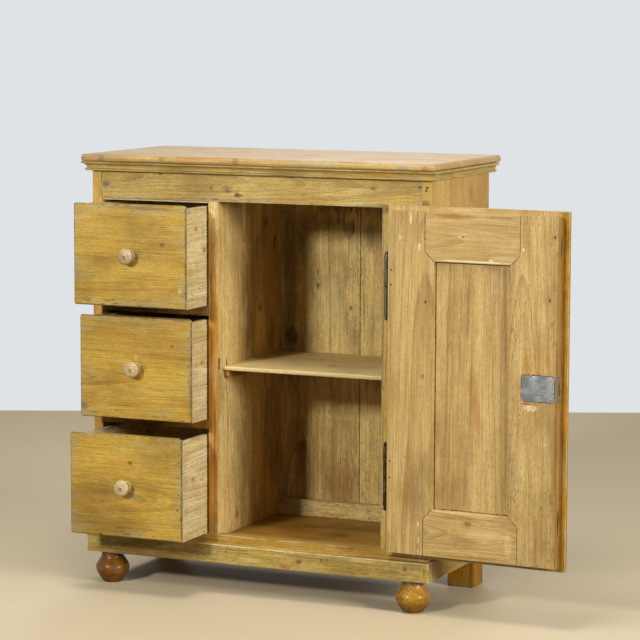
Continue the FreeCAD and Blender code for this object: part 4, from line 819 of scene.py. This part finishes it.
# %% Mark the fronts by their sizes
SCUFFS, SCUFF_SEED = 7, 70
for number in PULLS:
    low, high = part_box(f"drawer_{number}_knob")
    middle = (np.array(low) + np.array(high)) / 2
    tip = np.array([middle[0], low.y, middle[2]])
    low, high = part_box(f"drawer_{number}_front")
    centre = (np.array(low) + np.array(high)) / 2
    tall, wide = (high.z - low.z) / MM, (high.x - low.x) / MM
    foot = np.array([middle[0] + 6 * MM, low.y, middle[2] + 4 * MM])
    MARKS[f"drawer_{number}_knob"] = [
        (tip + np.array([1, 0, -1]) * MM, (4.5, 5, 4.5), (110, 98, 60), 0.75),
        (tip + np.array([-5, 0, 5]) * MM, (3, 2, 6), (150, 128, 84), 0.5)]
    marks = MARKS[f"drawer_{number}_front"]
    marks += [(foot, (17, 3, 25), (118, 104, 52), 0.45),
              ((high.x, low.y, centre[2]), (tall, 3, 2.4), (64, 58, 40), 0.75),
              ((low.x, low.y, centre[2]), (tall, 3, 2.0), (96, 70, 32), 0.6),
              ((centre[0], low.y, low.z), (3.0, 3, wide), (84, 62, 30), 0.65)]
    chance = np.random.default_rng(SCUFF_SEED + number)
    for _ in range(SCUFFS):
        across = low.x + chance.uniform(0.08, 0.95) * (high.x - low.x)
        up = low.z + chance.uniform(3.0, 17.0) * MM
        reach = (chance.uniform(0.9, 1.6), 3, chance.uniform(4.0, 12.0))
        marks += [((across, low.y, up), reach, BROWN, 0.75)]
print("marks:", sum(len(row) for row in MARKS.values()))

# %% [markdown]
# ## How each kind of board has aged
# A drawer front is handled and waxed, the back is never touched, and the strip on the door's
# edge was varnished late. So most palettes have habits of their own, which their boards share.

# %% Dress the boards
HABITS = {
    "drawer": dict(specks=0.42, traces=0.35, grime=0.8, blotch=0.5, gloss=0.42, contrast=0.42, shine=0.3,
                   worn=0.1, crisp=0.9),
    "drawer_side": dict(specks=0.4, traces=0.3, grime=0.4, blotch=0.25, contrast=0.8, worn=0.5, crisp=1.2),
    "door": dict(specks=0.34, traces=0.05, grime=0.5, blotch=0.5, contrast=0.62, gloss=0.45, shine=0.28,
                 worn=1.0, crisp=0.9),
    "case": dict(specks=0.4, traces=0.2, grime=0.55, gloss=0.45, shine=0.28, worn=0.45),
    "partition": dict(specks=0.45, traces=0.05, grime=0.35, worn=0.4, crisp=1.35, contrast=0.75),
    "back": dict(specks=0.65, traces=0.1, grime=0.4, blotch=0.6, crisp=1.2),
    "shelf": dict(specks=0.25, traces=0.0, grime=0.15, blotch=0.35, contrast=0.75, worn=0.5),
    "edge": dict(worn=0.1, shine=0.08),
    "block": dict(worn=0.2, shine=0.06),
    "strip": dict(worn=0.5, shine=0.06, grime=0.05, blotch=0.25, contrast=0.5),
    "rail": dict(worn=0.6),
    "inside_floor": dict(specks=0.3, traces=0.0, grime=0.3, blotch=0.6),
    "top": dict(specks=0.25, traces=0.25, grime=0.15, blotch=0.4, gloss=0.38, shine=0.35, worn=0.25,
                crisp=1.3),
    "base": dict(specks=0.45, traces=0.1, grime=0.4, blotch=0.6, worn=0.9, crisp=1.4),
    "side": dict(specks=0.2, traces=0.05, grime=0.35, gloss=0.45, shine=0.28),
}


def dress(name, material):
    """Puts a finish on a CAD solid."""
    nodes[name].material_slots[0].material = material


for name, row in BOARDS.items():
    low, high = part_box(name)
    facts = {**HABITS.get(row["palette"], {}), **row}
    dress(name, pine(f"{name}_pine", low=low, high=high, knots=KNOTS.get(name, ()),
                     marks=MARKS.get(name, ()), **facts))
print("boards with their own grain:", len(BOARDS))

# %% [markdown]
# ## Eased edges
# No edge on an old cabinet is sharp. Hands, cloths and a century of moving house have rounded
# each by a millimetre or so, and that round is what catches the light. The solids are left
# alone: each board gets a copy, whose loose triangles are first merged into clean faces, and a
# bevel on every hard edge. It stays inside the board's own size.

# %% Ease the edges of the boards
EASE = {"top_board": 0.6, "door_panel": 0.5}
USUAL_EASE = 0.9
COPY_MERGE, FLAT_WITHIN, HARD_EDGE = 2e-6, math.radians(1.5), math.radians(32)


def smoothed(name, points, faces, material, tidy):
    """A smooth-shaded object of points and faces, after one tidying step on its mesh."""
    mesh = bpy.data.meshes.new(name)
    mesh.from_pydata(points.tolist(), [], faces.tolist())
    shell = bmesh.new()
    shell.from_mesh(mesh)
    tidy(shell)
    for face in shell.faces:
        face.smooth = True
    shell.to_mesh(mesh)
    shell.free()
    mesh.materials.append(material)
    thing = bpy.data.objects.new(name, mesh)
    bpy.context.scene.collection.objects.link(thing)
    return thing


def clean_faces(shell):
    """Loose triangles, joined at their corners and merged into flat faces."""
    bmesh.ops.remove_doubles(shell, verts=shell.verts, dist=COPY_MERGE)
    bmesh.ops.dissolve_limit(shell, angle_limit=FLAT_WITHIN, verts=shell.verts, edges=shell.edges)


def eased(name):
    """A board's copy with rounded arrises; it stands for the CAD board and rides where it rides."""
    given = nodes[name].data
    points = np.empty(len(given.vertices) * 3)
    given.vertices.foreach_get("co", points)
    corners = np.empty(len(given.loops), int)
    given.loops.foreach_get("vertex_index", corners)
    board = smoothed(f"{name}_eased", points.reshape(-1, 3), corners.reshape(-1, 3),
                     nodes[name].material_slots[0].material, clean_faces)
    round_over = board.modifiers.new("eased", "BEVEL")
    round_over.width = EASE.get(name, USUAL_EASE) * MM
    round_over.segments = 2
    round_over.limit_method = "ANGLE"
    round_over.angle_limit = HARD_EDGE
    round_over.harden_normals = True
    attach(board, body_of(nodes[name])[0])
    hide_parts(name)


flat_boards = [name for name in BOARDS if not name.endswith("knob")]
for name in flat_boards:
    eased(name)
print("boards eased:", len(flat_boards))

# %% [markdown]
# ## A surface from a grid
# The new pieces are all surfaces of two parameters: steps along a profile, and turns round it.
# The points come as one array, and the faces join each row of points to the next. This helper
# makes the faces once for all of them, and the next one closes a surface and rides it.

# %% Join a grid and close a piece
CORNER_MERGE = 1e-7


def grid_faces(rows, around):
    """Four-cornered faces between each row of points and the next, closed round. A point's number is
    its row times around, plus its turn."""
    row, turn = np.meshgrid(np.arange(rows - 1), np.arange(around), indexing="ij")
    after = (turn + 1) % around
    return np.stack([row * around + turn, (row + 1) * around + turn,
                     (row + 1) * around + after, row * around + after], -1).reshape(-1, 4)


def close_up(shell):
    """Merges doubled points, fills what is open and turns every face outwards."""
    bmesh.ops.remove_doubles(shell, verts=shell.verts, dist=CORNER_MERGE)
    bmesh.ops.holes_fill(shell, edges=[edge for edge in shell.edges if edge.is_boundary])
    bmesh.ops.recalc_face_normals(shell, faces=shell.faces)


def closed_piece(name, body, points, faces, material, slot):
    """One closed, smooth piece of points in the frame, which rides on its body."""
    thing = smoothed(name, points, faces, material, close_up)
    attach(thing, body)
    print(name, "faces:", len(thing.data.polygons))
    return thing


# %% [markdown]
# ## Turned feet
# The front feet are turned from one block each and varnished until they shine, so they are a
# darker orange than the boards and reflect the room. The left one stands in the shade of the
# drawers, and its darker palette paints that shade. A turned piece is a lathe surface: one
# profile, carried round. The profile is the gouge's path, by shares of the foot's height and of
# its widest radius, with a slow wobble, because an old foot has shrunk out of round.

# %% Turn and varnish the feet
FOOT_TALL = 64.5
FOOT_TURNS, FOOT_STEPS = 96, 72
OVAL, RIPPLE = 0.004, 0.003
FOOT_LEVELS = [0.0, 0.03, 0.08, 0.15, 0.25, 0.36, 0.46, 0.53, 0.60, 0.66, 0.72, 0.80, 0.90, 1.0]
FOOT_RADII = [0.50, 0.58, 0.65, 0.74, 0.86, 0.96, 0.994, 0.982, 0.93, 0.86, 0.775, 0.69, 0.64, 0.62]
VARNISH = dict(pith=(0.012, 0.02), year=0.0034, gloss=0.38, coat=0.15, shine=0.2, grime=0.0,
               blotch=0.9, relief=0.12, worn=0.0, crisp=1.2, contrast=0.8)


def turned_foot(name, seed):
    """A lathe surface: radius r(h) times the turn, with r from the gouge's path and a slow wobble."""
    low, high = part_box(name)
    middle = (np.array(low) + np.array(high)) / 2
    share = np.linspace(0, 1, FOOT_STEPS)
    radius = np.interp(share, FOOT_LEVELS, FOOT_RADII)
    radius[1:-1] = (radius[:-2] + 2 * radius[1:-1] + radius[2:]) / 4
    angle = np.arange(FOOT_TURNS) * 2 * math.pi / FOOT_TURNS
    wobble = 1 - OVAL * (1 + np.sin(2 * angle + seed)) / 2 - RIPPLE * (1 + np.sin(5 * angle)) / 2
    across = (high.x - low.x) / 2 * radius[:, None] * wobble
    height = np.broadcast_to((share * FOOT_TALL * MM)[:, None], across.shape)
    places = [middle[0] + across * np.cos(angle), middle[1] + across * np.sin(angle), height]
    return np.stack(places, -1).reshape(-1, 3), grid_faces(FOOT_STEPS, FOOT_TURNS)


# The left foot takes foot_shaded: its darker colour is painted shade.
for name, tint, seed in (("foot_front_left", "foot_shaded", 51.0), ("foot_front_right", "foot", 53.4)):
    low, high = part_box(name)
    core = ((low.x + high.x) / 2, (low.y + high.y) / 2)
    dark_ends = [((*core, 0.008), (90, 90, 19), (84, 48, 8), 0.7),
                 ((*core, 0.062), (90, 90, 9), (70, 40, 8), 0.5)]
    varnish = pine(f"{name}_varnish", tint, "z", "y", low, high, seed=seed, marks=dark_ends, **VARNISH)
    dress(name, varnish)
    foot = closed_piece(f"{name}_turned", "carcass", *turned_foot(name, seed), varnish, slot_of[name])
    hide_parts(name)

# %% [markdown]
# ## Metal
# The hinges are plain steel gone brown where hands don't reach, and the lock is dull grey zinc.
# Metal shows its age as blotches: bright where it is rubbed, brown and rough where it isn't.

# %% Make the metals
PIT = linear(58, 48, 40)


def metal(name, bright, dull, rough, rust, scale=60.0, metallic=0.9):
    """A worn metal: bright and dull colours mixed by blotches, and rougher where it is dull."""
    material, bench, own = new_finish(name)
    lumps = bench.cloud(own, scale, 5.0, 0.65)
    specks = bench.cloud(own, scale * 9.0, 2.0, 0.6)
    share = bench.step(lumps, 0.38, 0.66) * rust
    colour = bench.mix(share, linear(*bright), linear(*dull))
    colour = bench.shade(colour, specks.work("MULTIPLY_ADD", 0.5, 0.75))
    pits = bench.step(bench.cloud(own, scale * 7.0, 2.0, 0.6), 0.60, 0.68)
    colour = bench.mix(pits * rust, colour, PIT)
    bump = bench.lay("ShaderNodeBump", {"Height": lumps + specks, "Strength": 0.3, "Distance": 0.0004})
    bench.finish(Base_Color=colour, Roughness=share.work("MULTIPLY_ADD", 0.35, rough), Normal=bump,
                 Metallic=metallic)
    return material


METALS = {
    "hinge_steel": metal("hinge_steel_worn", (96, 90, 80), (50, 36, 26), rough=0.4, rust=0.85),
    "hinge_iron": metal("hinge_iron_brown", (86, 68, 52), (44, 30, 22), rough=0.5, rust=0.9),
    "lock_zinc": metal("lock_zinc_dull", (140, 144, 145), (96, 95, 90), rough=0.4, rust=0.7,
                       scale=45.0, metallic=0.6),
    "lock_bolt_steel": metal("lock_bolt_rubbed", (150, 148, 140), (84, 74, 60), rough=0.35, rust=0.6),
}
for name, slot in slot_of.items():
    if slot in METALS:
        dress(name, METALS[slot])
print("metals:", len(METALS))

# %% [markdown]
# ## Nails, rivets and plugs
# A nail head is a shallow dome, hammered a little below or above the wood. The dome is worked
# out as one surface: the height falls from the middle to the rim as one minus the square of the
# distance, and each ring wobbles a little, because cut nails are not round. A sphere squashed
# flat would have its poles in the wrong place and a sharp rim.

# %% Forge the nails
ROUND, RINGS, SUNK = 14, 5, 0.6
HEAD_WOBBLE, HEAD_CORNER, RING_SPREAD = 0.10, 0.28, 0.8
UPRIGHT, ACROSS = np.array([0.0, 0.0, 1.0]), np.array([1.0, 0.0, 0.0])


def domes(places, normal, radius, proud, seed, square):
    """Points and faces of many domes: radius r times a ring share s, height proud * (1 - s squared)."""
    chance = np.random.default_rng(seed)
    places = np.asarray(places, float).reshape(-1, 3)
    normal = np.asarray(normal, float) / np.linalg.norm(normal)
    first = np.cross(normal, UPRIGHT) if abs(normal[2]) < 0.9 else ACROSS
    first = first / np.linalg.norm(first)
    second = np.cross(normal, first)
    share = np.append(np.linspace(0.0, 1.0, RINGS) ** RING_SPREAD, 1.0)
    angle = np.arange(ROUND) * 2 * math.pi / ROUND
    wobble = 1 + HEAD_WOBBLE * chance.standard_normal((len(places), 1, ROUND)) * share[None, :, None]
    corner = 1 + square * HEAD_CORNER * np.cos(4 * angle) ** 2
    reach = radius * MM * share[None, :, None] * wobble * corner[None, None, :]
    height = np.where(np.arange(RINGS + 1) < RINGS, proud * (1 - share ** 2), -SUNK) * MM
    flat = (reach * np.cos(angle))[..., None] * first + (reach * np.sin(angle))[..., None] * second
    points = places[:, None, None, :] + flat + (height[:, None] * normal)[None, :, None, :]
    steps = (np.arange(len(places)) * (RINGS + 1) * ROUND)[:, None, None]
    return points.reshape(-1, 3), (grid_faces(RINGS + 1, ROUND)[None] + steps).reshape(-1, 4)


def fasten(name, body, places, normal, radius, proud, seed, slot="hinge_iron", square=0.0, material=None):
    """One object of domes on one body, closed underneath by its own rim sunk in the wood."""
    points, faces = domes(places, normal, radius, proud, seed, square)
    closed_piece(name, body, points, faces, material or METALS[slot], slot)


# %% Nail the base and the door
FACING = {"front": (0, -1, 0), "back": (0, 1, 0), "left": (-1, 0, 0), "right": (1, 0, 0),
          "up": (0, 0, 1)}
OUT_OF_DOOR = on_door(0, 1, 0) - on_door(0, 0, 0)
fasten("nails_base_front", "carcass", [at(43, -20, 93.8), at(310, -20, 90), at(520, -20, 92)],
       FACING["front"], radius=1.9, proud=0.15, seed=3)
fasten("peg_base", "carcass", [at(698.7, -20, 90.7)], FACING["front"], radius=4.2, proud=0.3, seed=4,
       slot="pine_waxed", square=1.0, material=nodes["divider_upper"].material_slots[0].material)
CLENCHED = ((629, 675), (629, 647), (629.5, 304), (629.5, 270.6), (556, 617), (292.5, 752))
fasten("nails_door_clenched", "door", [on_door(x, DOOR_FACE, z) for x, z in CLENCHED], OUT_OF_DOOR,
       radius=2.0, proud=0.35, seed=5)

# %% Nail the drawers
FRONT_HEADS = {1: [(251.4, 26)], 2: [(250.2, 84), (251.0, 171)],
               3: [(251.2, 34), (249.6, 95), (250.8, 160)]}
DRAWER_LEVELS = {1: 582.6, 2: 352.8, 3: 120.1}
FRONT_FACE, SIDE_FACE, SIDE_HEADS, SIDE_UP = -6.5, 257.3, (20, 90, 160, 230), 5.5
for number, level in DRAWER_LEVELS.items():
    pull = PULLS[number]
    fasten(f"nails_drawer_{number}_front", f"drawer_{number}",
           [at(x, FRONT_FACE - pull, level + up) for x, up in FRONT_HEADS[number]], FACING["front"],
           radius=1.4, proud=0.1, seed=10 + number)
    fasten(f"nails_drawer_{number}_side", f"drawer_{number}",
           [at(SIDE_FACE, y - pull, level + SIDE_UP) for y in SIDE_HEADS], FACING["right"],
           radius=1.4, proud=0.15, seed=20 + number)

# %% Nail the sides, the back and the top
for side, x, shelf, seed in (("left", 0, 458, 31), ("right", 740, 455, 32)):
    heads = [at(x, y, z) for y in (9, 306) for z in (180, 345, 560, 780)]
    heads += [at(x, y, shelf) for y in (60, 150, 250)]
    fasten(f"nails_sides_{side}", "carcass", heads, FACING[side], radius=1.8, proud=0.2, seed=seed)
BACK_HEADS = (22, 110, 205, 244, 350, 452, 480, 600, 716)
fasten("nails_back", "carcass", [at(x, 313, z) for z in (100, 455, 852) for x in BACK_HEADS],
       FACING["back"], radius=2.4, proud=0.5, seed=33, square=0.6)
fasten("nails_top", "carcass", [at(x, y, 879.9) for x in (12, 372, 728) for y in (10, 160, 320)],
       FACING["up"], radius=1.9, proud=0.1, seed=34)

# %% [markdown]
# ## The lock's cover
# The cover is a pressed sheet of zinc: nearly flat, with round corners and an edge that is turned
# down to the wood. It is one surface: rings of a squared circle shrink to the middle, and their
# height follows a low swell that dips just inside the rim. Hammer dents are slow waves on it.

# %% Press the lock's cover
PLATE_WIDE, PLATE_HIGH, PLATE_THICK = 66.0, 49.0, 1.05
PLATE_X, PLATE_Z, PLATE_BACK = 323.0, 465.0, 18.55
PLATE_AROUND, PLATE_RINGS, SQUARED = 96, 14, 0.25
DIP, DIP_SHARE, DIP_REACH, RIM_UP = 0.22, 0.86, 0.05, 0.45
DENT, DENT_X, DENT_Z = 0.06, 0.23, 0.31


def pressed_plate():
    """Points and faces: x = a |cos|^(1/4), z = b |sin|^(1/4) for each ring share, height as a swell."""
    angle = (np.arange(PLATE_AROUND) + 0.5) * 2 * math.pi / PLATE_AROUND
    share = np.concatenate([[1.0], 1 - np.linspace(0, 1, PLATE_RINGS) ** 2])
    edge_x = PLATE_WIDE / 2 * np.sign(np.cos(angle)) * np.abs(np.cos(angle)) ** SQUARED
    edge_z = PLATE_HIGH / 2 * np.sign(np.sin(angle)) * np.abs(np.sin(angle)) ** SQUARED
    x, z = share[:, None] * edge_x, share[:, None] * edge_z
    swell = PLATE_THICK * (1 - share ** 24)[:, None]
    dip = DIP * np.exp(-((share - DIP_SHARE) / DIP_REACH) ** 2)[:, None]
    dents = DENT * np.sin(x * DENT_X + 1.0) * np.cos(z * DENT_Z) * (1 - share ** 4)[:, None]
    height = swell - dip + dents
    height[0] = 0.0
    height[1] = RIM_UP
    places = np.stack([PLATE_X + x, PLATE_BACK + height, PLATE_Z + z], -1)
    return door_places(places.reshape(-1, 3)), grid_faces(PLATE_RINGS + 1, PLATE_AROUND)


closed_piece("lock_cover_pressed", "door", *pressed_plate(), METALS["lock_zinc"], "lock_zinc")
fasten("rivets_lock_plate", "door", [on_door(x, 19.5, z) for x in (297, 349) for z in (446.5, 483.5)],
       OUT_OF_DOOR, radius=2.2, proud=0.35, seed=6, slot="lock_zinc")

# %% [markdown]
# ## Dirt in the joints
# Wax and dust have filled the open joints, and draw the door's mitres as thin dark lines. Round
# the panel the same dark line is also painted shade in the groove. Each is a flat lens carried
# along the joint, a little wider here and narrower there, with its lower half sunk in the wood.
# A painted line would have to be repeated on both boards of a joint.

# %% Make the dirt of a joint
STEP_LONG, FEWEST_STEPS = 2.5 * MM, 4
RISE, RIM_DOWN, ROOT = 0.08 * MM, 0.03 * MM, 0.3 * MM
RAGGED, NARROWEST, WIDEST, TIP, DRIFT = 0.35, 0.35, 1.9, 0.1, 0.12 * MM


def filled_joint(paths, normal, width, seed):
    """Points and faces: the section (-w, 0), (0, top), (w, 0), (0, under) at each step of a path."""
    chance = np.random.default_rng(seed)
    all_points, all_faces, start = [], [], 0
    normal = np.asarray(normal, float) / np.linalg.norm(normal)
    for first, last in paths:
        length = np.linalg.norm(last - first)
        steps = max(FEWEST_STEPS, int(length / STEP_LONG))
        share = np.linspace(0, 1, steps)[:, None]
        side = np.cross(normal, (last - first) / length)
        half = width * MM / 2 * (1 + RAGGED * chance.standard_normal((steps, 1))).clip(NARROWEST, WIDEST)
        half[0] = half[-1] = width * MM * TIP
        drift = DRIFT * chance.standard_normal((steps, 1))
        line = first + (last - first) * share + side * drift
        ring = np.stack([line - side * half - normal * RIM_DOWN, line + normal * RISE,
                         line + side * half - normal * RIM_DOWN, line - normal * ROOT], 1)
        caps = np.array([[0, 1, 2, 3], [3, 2, 1, 0]]) + np.array([[0], [(steps - 1) * 4]])
        all_points.append(ring.reshape(-1, 3))
        all_faces.append(np.concatenate([grid_faces(steps, 4), caps]) + start)
        start += steps * 4
    return np.concatenate(all_points), np.concatenate(all_faces)


def soot(name, colour):
    """Old wax and dust: a dark colour, a little lighter in lumps."""
    material, bench, own = new_finish(name)
    lumps = bench.step(bench.cloud(own, 90.0, 3.0), 0.35, 0.7)
    light = tuple(min(1.0, part * 2.6) for part in colour[:3]) + (1.0,)
    bench.finish(Base_Color=bench.mix(lumps, colour, light), Roughness=0.7, Specular_IOR_Level=0.15)
    return material


# The panel's groove is filled with this same dark material, where it also paints shade.
joint_dirt = soot("joint_dirt", linear(58, 38, 18))


def fill(name, body, paths, normal, width, seed, slot):
    """Fills one set of joints with dirt; round the panel it also paints the groove's shade."""
    closed_piece(name, body, *filled_joint(paths, normal, width, seed), joint_dirt, slot)


# %% Fill the mitres of the door
SHOULDERS, CORNERS = (362.0, 558.0), (381.0, 539.0)
RAIL_ENDS = ((714.0, 695.0, 789.0), (196.5, 215.5, 124.0))
joints = []
for shoulder, corner in zip(SHOULDERS, CORNERS):
    for mitre, inner, outer in RAIL_ENDS:
        middle = on_door(shoulder, DOOR_FACE, mitre)
        joints += [(on_door(shoulder, DOOR_FACE, outer), middle),
                   (middle, on_door(corner, DOOR_FACE, inner))]
fill("joint_dirt_door", "door", joints, OUT_OF_DOOR, width=1.1, seed=71, slot="pine_door")

# %% Fill the edge of the lock's hole
HOLE_LEFT, HOLE_RIGHT, HOLE_LOW, HOLE_HIGH, CORNER_ROUND = 290.0, 356.0, 440.5, 489.5, 5.0
HOLE_STEPS, PAST_QUARTER = 33, 0.01


def lock_outline():
    """A rectangle with round corners: a circle of the corners' radius, whose middle jumps to the next
    corner just before each quarter turn is full."""
    turn = np.linspace(0, 2 * math.pi, HOLE_STEPS)
    right, upper = np.cos(turn + PAST_QUARTER) > 0, np.sin(turn + PAST_QUARTER) > 0
    x = np.where(right, HOLE_RIGHT - CORNER_ROUND, HOLE_LEFT + CORNER_ROUND) + CORNER_ROUND * np.cos(turn)
    z = np.where(upper, HOLE_HIGH - CORNER_ROUND, HOLE_LOW + CORNER_ROUND) + CORNER_ROUND * np.sin(turn)
    return door_places(np.column_stack([x, np.full(HOLE_STEPS, DOOR_FACE), z]))


outline = lock_outline()
fill("joint_dirt_lock", "door", list(zip(outline[:-1], outline[1:])), OUT_OF_DOOR, width=3.8, seed=74,
     slot="lock_zinc")

# %% Fill the groove round the panel, and paint its shade
PANEL_SIDES, PANEL_FOOT, PANEL_TOP = (381.6, 538.4), 216.0, 694.5
PANEL_LINES = ((382.0, 538.0, 693.6), (381.5, 538.5, 216.1), (381.5, 538.5, 694.4))
joints = [(on_door(x, PANEL_FACE, PANEL_FOOT), on_door(x, PANEL_FACE, PANEL_TOP)) for x in PANEL_SIDES]
for left, right, level in PANEL_LINES:
    joints += [(on_door(left, PANEL_FACE, level), on_door(right, PANEL_FACE, level))]
# Round the panel the dark lens is partly dirt and partly painted shade that the rails and stiles cast into
# the groove.
fill("joint_dirt_and_shade_panel", "door", joints, OUT_OF_DOOR, width=1.8, seed=72, slot="pine_door")

# %% Fill the carcass's joints
RAIL_END, RAIL_LOW, RAIL_HIGH = 20, 792.5, 845.5
SEAM_LOW, SEAM_HIGH = 112, 846
fill("joint_dirt_rail", "carcass", [(at(RAIL_END, 0, RAIL_LOW), at(RAIL_END, 0, RAIL_HIGH))],
     FACING["front"], width=0.4, seed=73, slot="pine_waxed")
seam_x = (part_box("back_board_right")[0].x - LEFT_END) / MM
seam_y = (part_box("back_board_middle")[0].y - FRONT) / MM
fill("joint_dirt_back", "carcass", [(at(seam_x, seam_y, SEAM_LOW), at(seam_x, seam_y, SEAM_HIGH))],
     FACING["front"], width=1.5, seed=75, slot="pine_waxed")
print("seam of the back boards at", round(seam_x, 1), "mm, its face at", round(seam_y, 1), "mm")

# %% [markdown]
# ## The room
# A plain pale floor carries the cabinet and its shadow. It throws back less light than it
# shows, so that it doesn't tint the cabinet from below. Behind it there is only a pale
# surround, so that the cabinet's outline stays clear from every side.

# %% Lay the floor
ROOM_TURN = math.radians(24.1)
FLOOR_REACH = 2.41
FLOOR_SEEN, FLOOR_THROWN = linear(214, 196, 160), linear(120, 108, 88)


def floor_finish(name):
    """A plain finish with a faint unevenness; camera and mirrors see its pale colour."""
    material, bench, own = new_finish(name)
    colour = bench.shade(FLOOR_SEEN, bench.cloud(own, 3.0, 3.0).work("MULTIPLY_ADD", 0.06, 0.97))
    camera_ray = bench.lay("ShaderNodeLightPath", {}, "Is Camera Ray")
    glossy_ray = bench.lay("ShaderNodeLightPath", {}, "Is Glossy Ray")
    colour = bench.mix(camera_ray.work("MAXIMUM", glossy_ray), FLOOR_THROWN, colour)
    bench.finish(Base_Color=colour, Roughness=0.6, Specular_IOR_Level=0.2)
    return material


corners = np.array([[-1, -1], [1, -1], [1, 1], [-1, 1]], float) * FLOOR_REACH @ turn_flat(ROOM_TURN)
floor_mesh = bpy.data.meshes.new("floor")
floor_mesh.from_pydata([(x, y, 0.0) for x, y in corners], [], [(0, 1, 2, 3)])
floor_mesh.materials.append(floor_finish("floor_pale"))
floor = bpy.data.objects.new("floor", floor_mesh)
bpy.context.scene.collection.objects.link(floor)
print("floor", 2 * FLOOR_REACH, "m wide")

# %% [markdown]
# ## The light
# The photograph was lit softly: one lamp from the front left, a broad one from the right that
# keeps the door and the drawers' sides pale, and a little from above. A fourth, weak and
# behind, only matters when the cabinet is seen from the back.

# %% Light the room
MIDDLE_UP = 0.45


def from_side(azimuth, elevation, far):
    """A place in the room: azimuth 0 is before the cabinet and 90 to its right; degrees and metres."""
    round_by, up_by = math.radians(azimuth), math.radians(elevation)
    flat = far * math.cos(up_by)
    up = MIDDLE_UP + far * math.sin(up_by)
    return Vector((flat * math.sin(round_by), -flat * math.cos(round_by), up))


def lamp(name, place, size, power):
    """A square soft box at a place, aimed at the cabinet's middle; its size is in metres."""
    data = bpy.data.lights.new(name, "AREA")
    data.energy = power
    data.size = size
    thing = bpy.data.objects.new(name, data)
    bpy.context.scene.collection.objects.link(thing)
    thing.location = place
    aim = Vector((0.0, 0.0, MIDDLE_UP)) - place
    thing.rotation_euler = aim.to_track_quat("-Z", "Y").to_euler()
    thing.visible_camera = False


lamp("lamp_front", from_side(-16.0, 20.0, 4.6), size=0.45, power=130.0)
lamp("lamp_right", from_side(70.0, 14.0, 4.2), size=1.1, power=148.0)
lamp("lamp_above", Vector((0.0, -0.95, 3.3)), size=1.0, power=42.0)
lamp("lamp_behind", from_side(200.0, 40.0, 4.4), size=1.4, power=34.0)
print("lamps:", len(bpy.data.lights))

# %% Paint the surround
ROOM_LIGHT, ROOM_SEEN = linear(246, 246, 250), linear(224, 227, 230)
world = bpy.data.worlds.new("room")
bpy.context.scene.world = world
world.use_nodes = True
world.node_tree.nodes.clear()
bench = Bench(world.node_tree)
shown = bench.lay("ShaderNodeLightPath", {}, "Is Camera Ray")
for ray in ("Is Glossy Ray", "Is Transmission Ray"):
    shown = shown.work("MAXIMUM", bench.lay("ShaderNodeLightPath", {}, ray))
light = bench.lay("ShaderNodeBackground", {"Color": ROOM_LIGHT, "Strength": 0.06})
wall = bench.lay("ShaderNodeBackground", {"Color": ROOM_SEEN, "Strength": 1.0})
both = bench.lay("ShaderNodeMixShader", {0: shown, 1: light, 2: wall})
bench.lay("ShaderNodeOutputWorld", {"Surface": both}, None)
bpy.context.scene.view_settings.view_transform = "Standard"
print("surround seen as", [round(part, 2) for part in ROOM_SEEN[:3]])
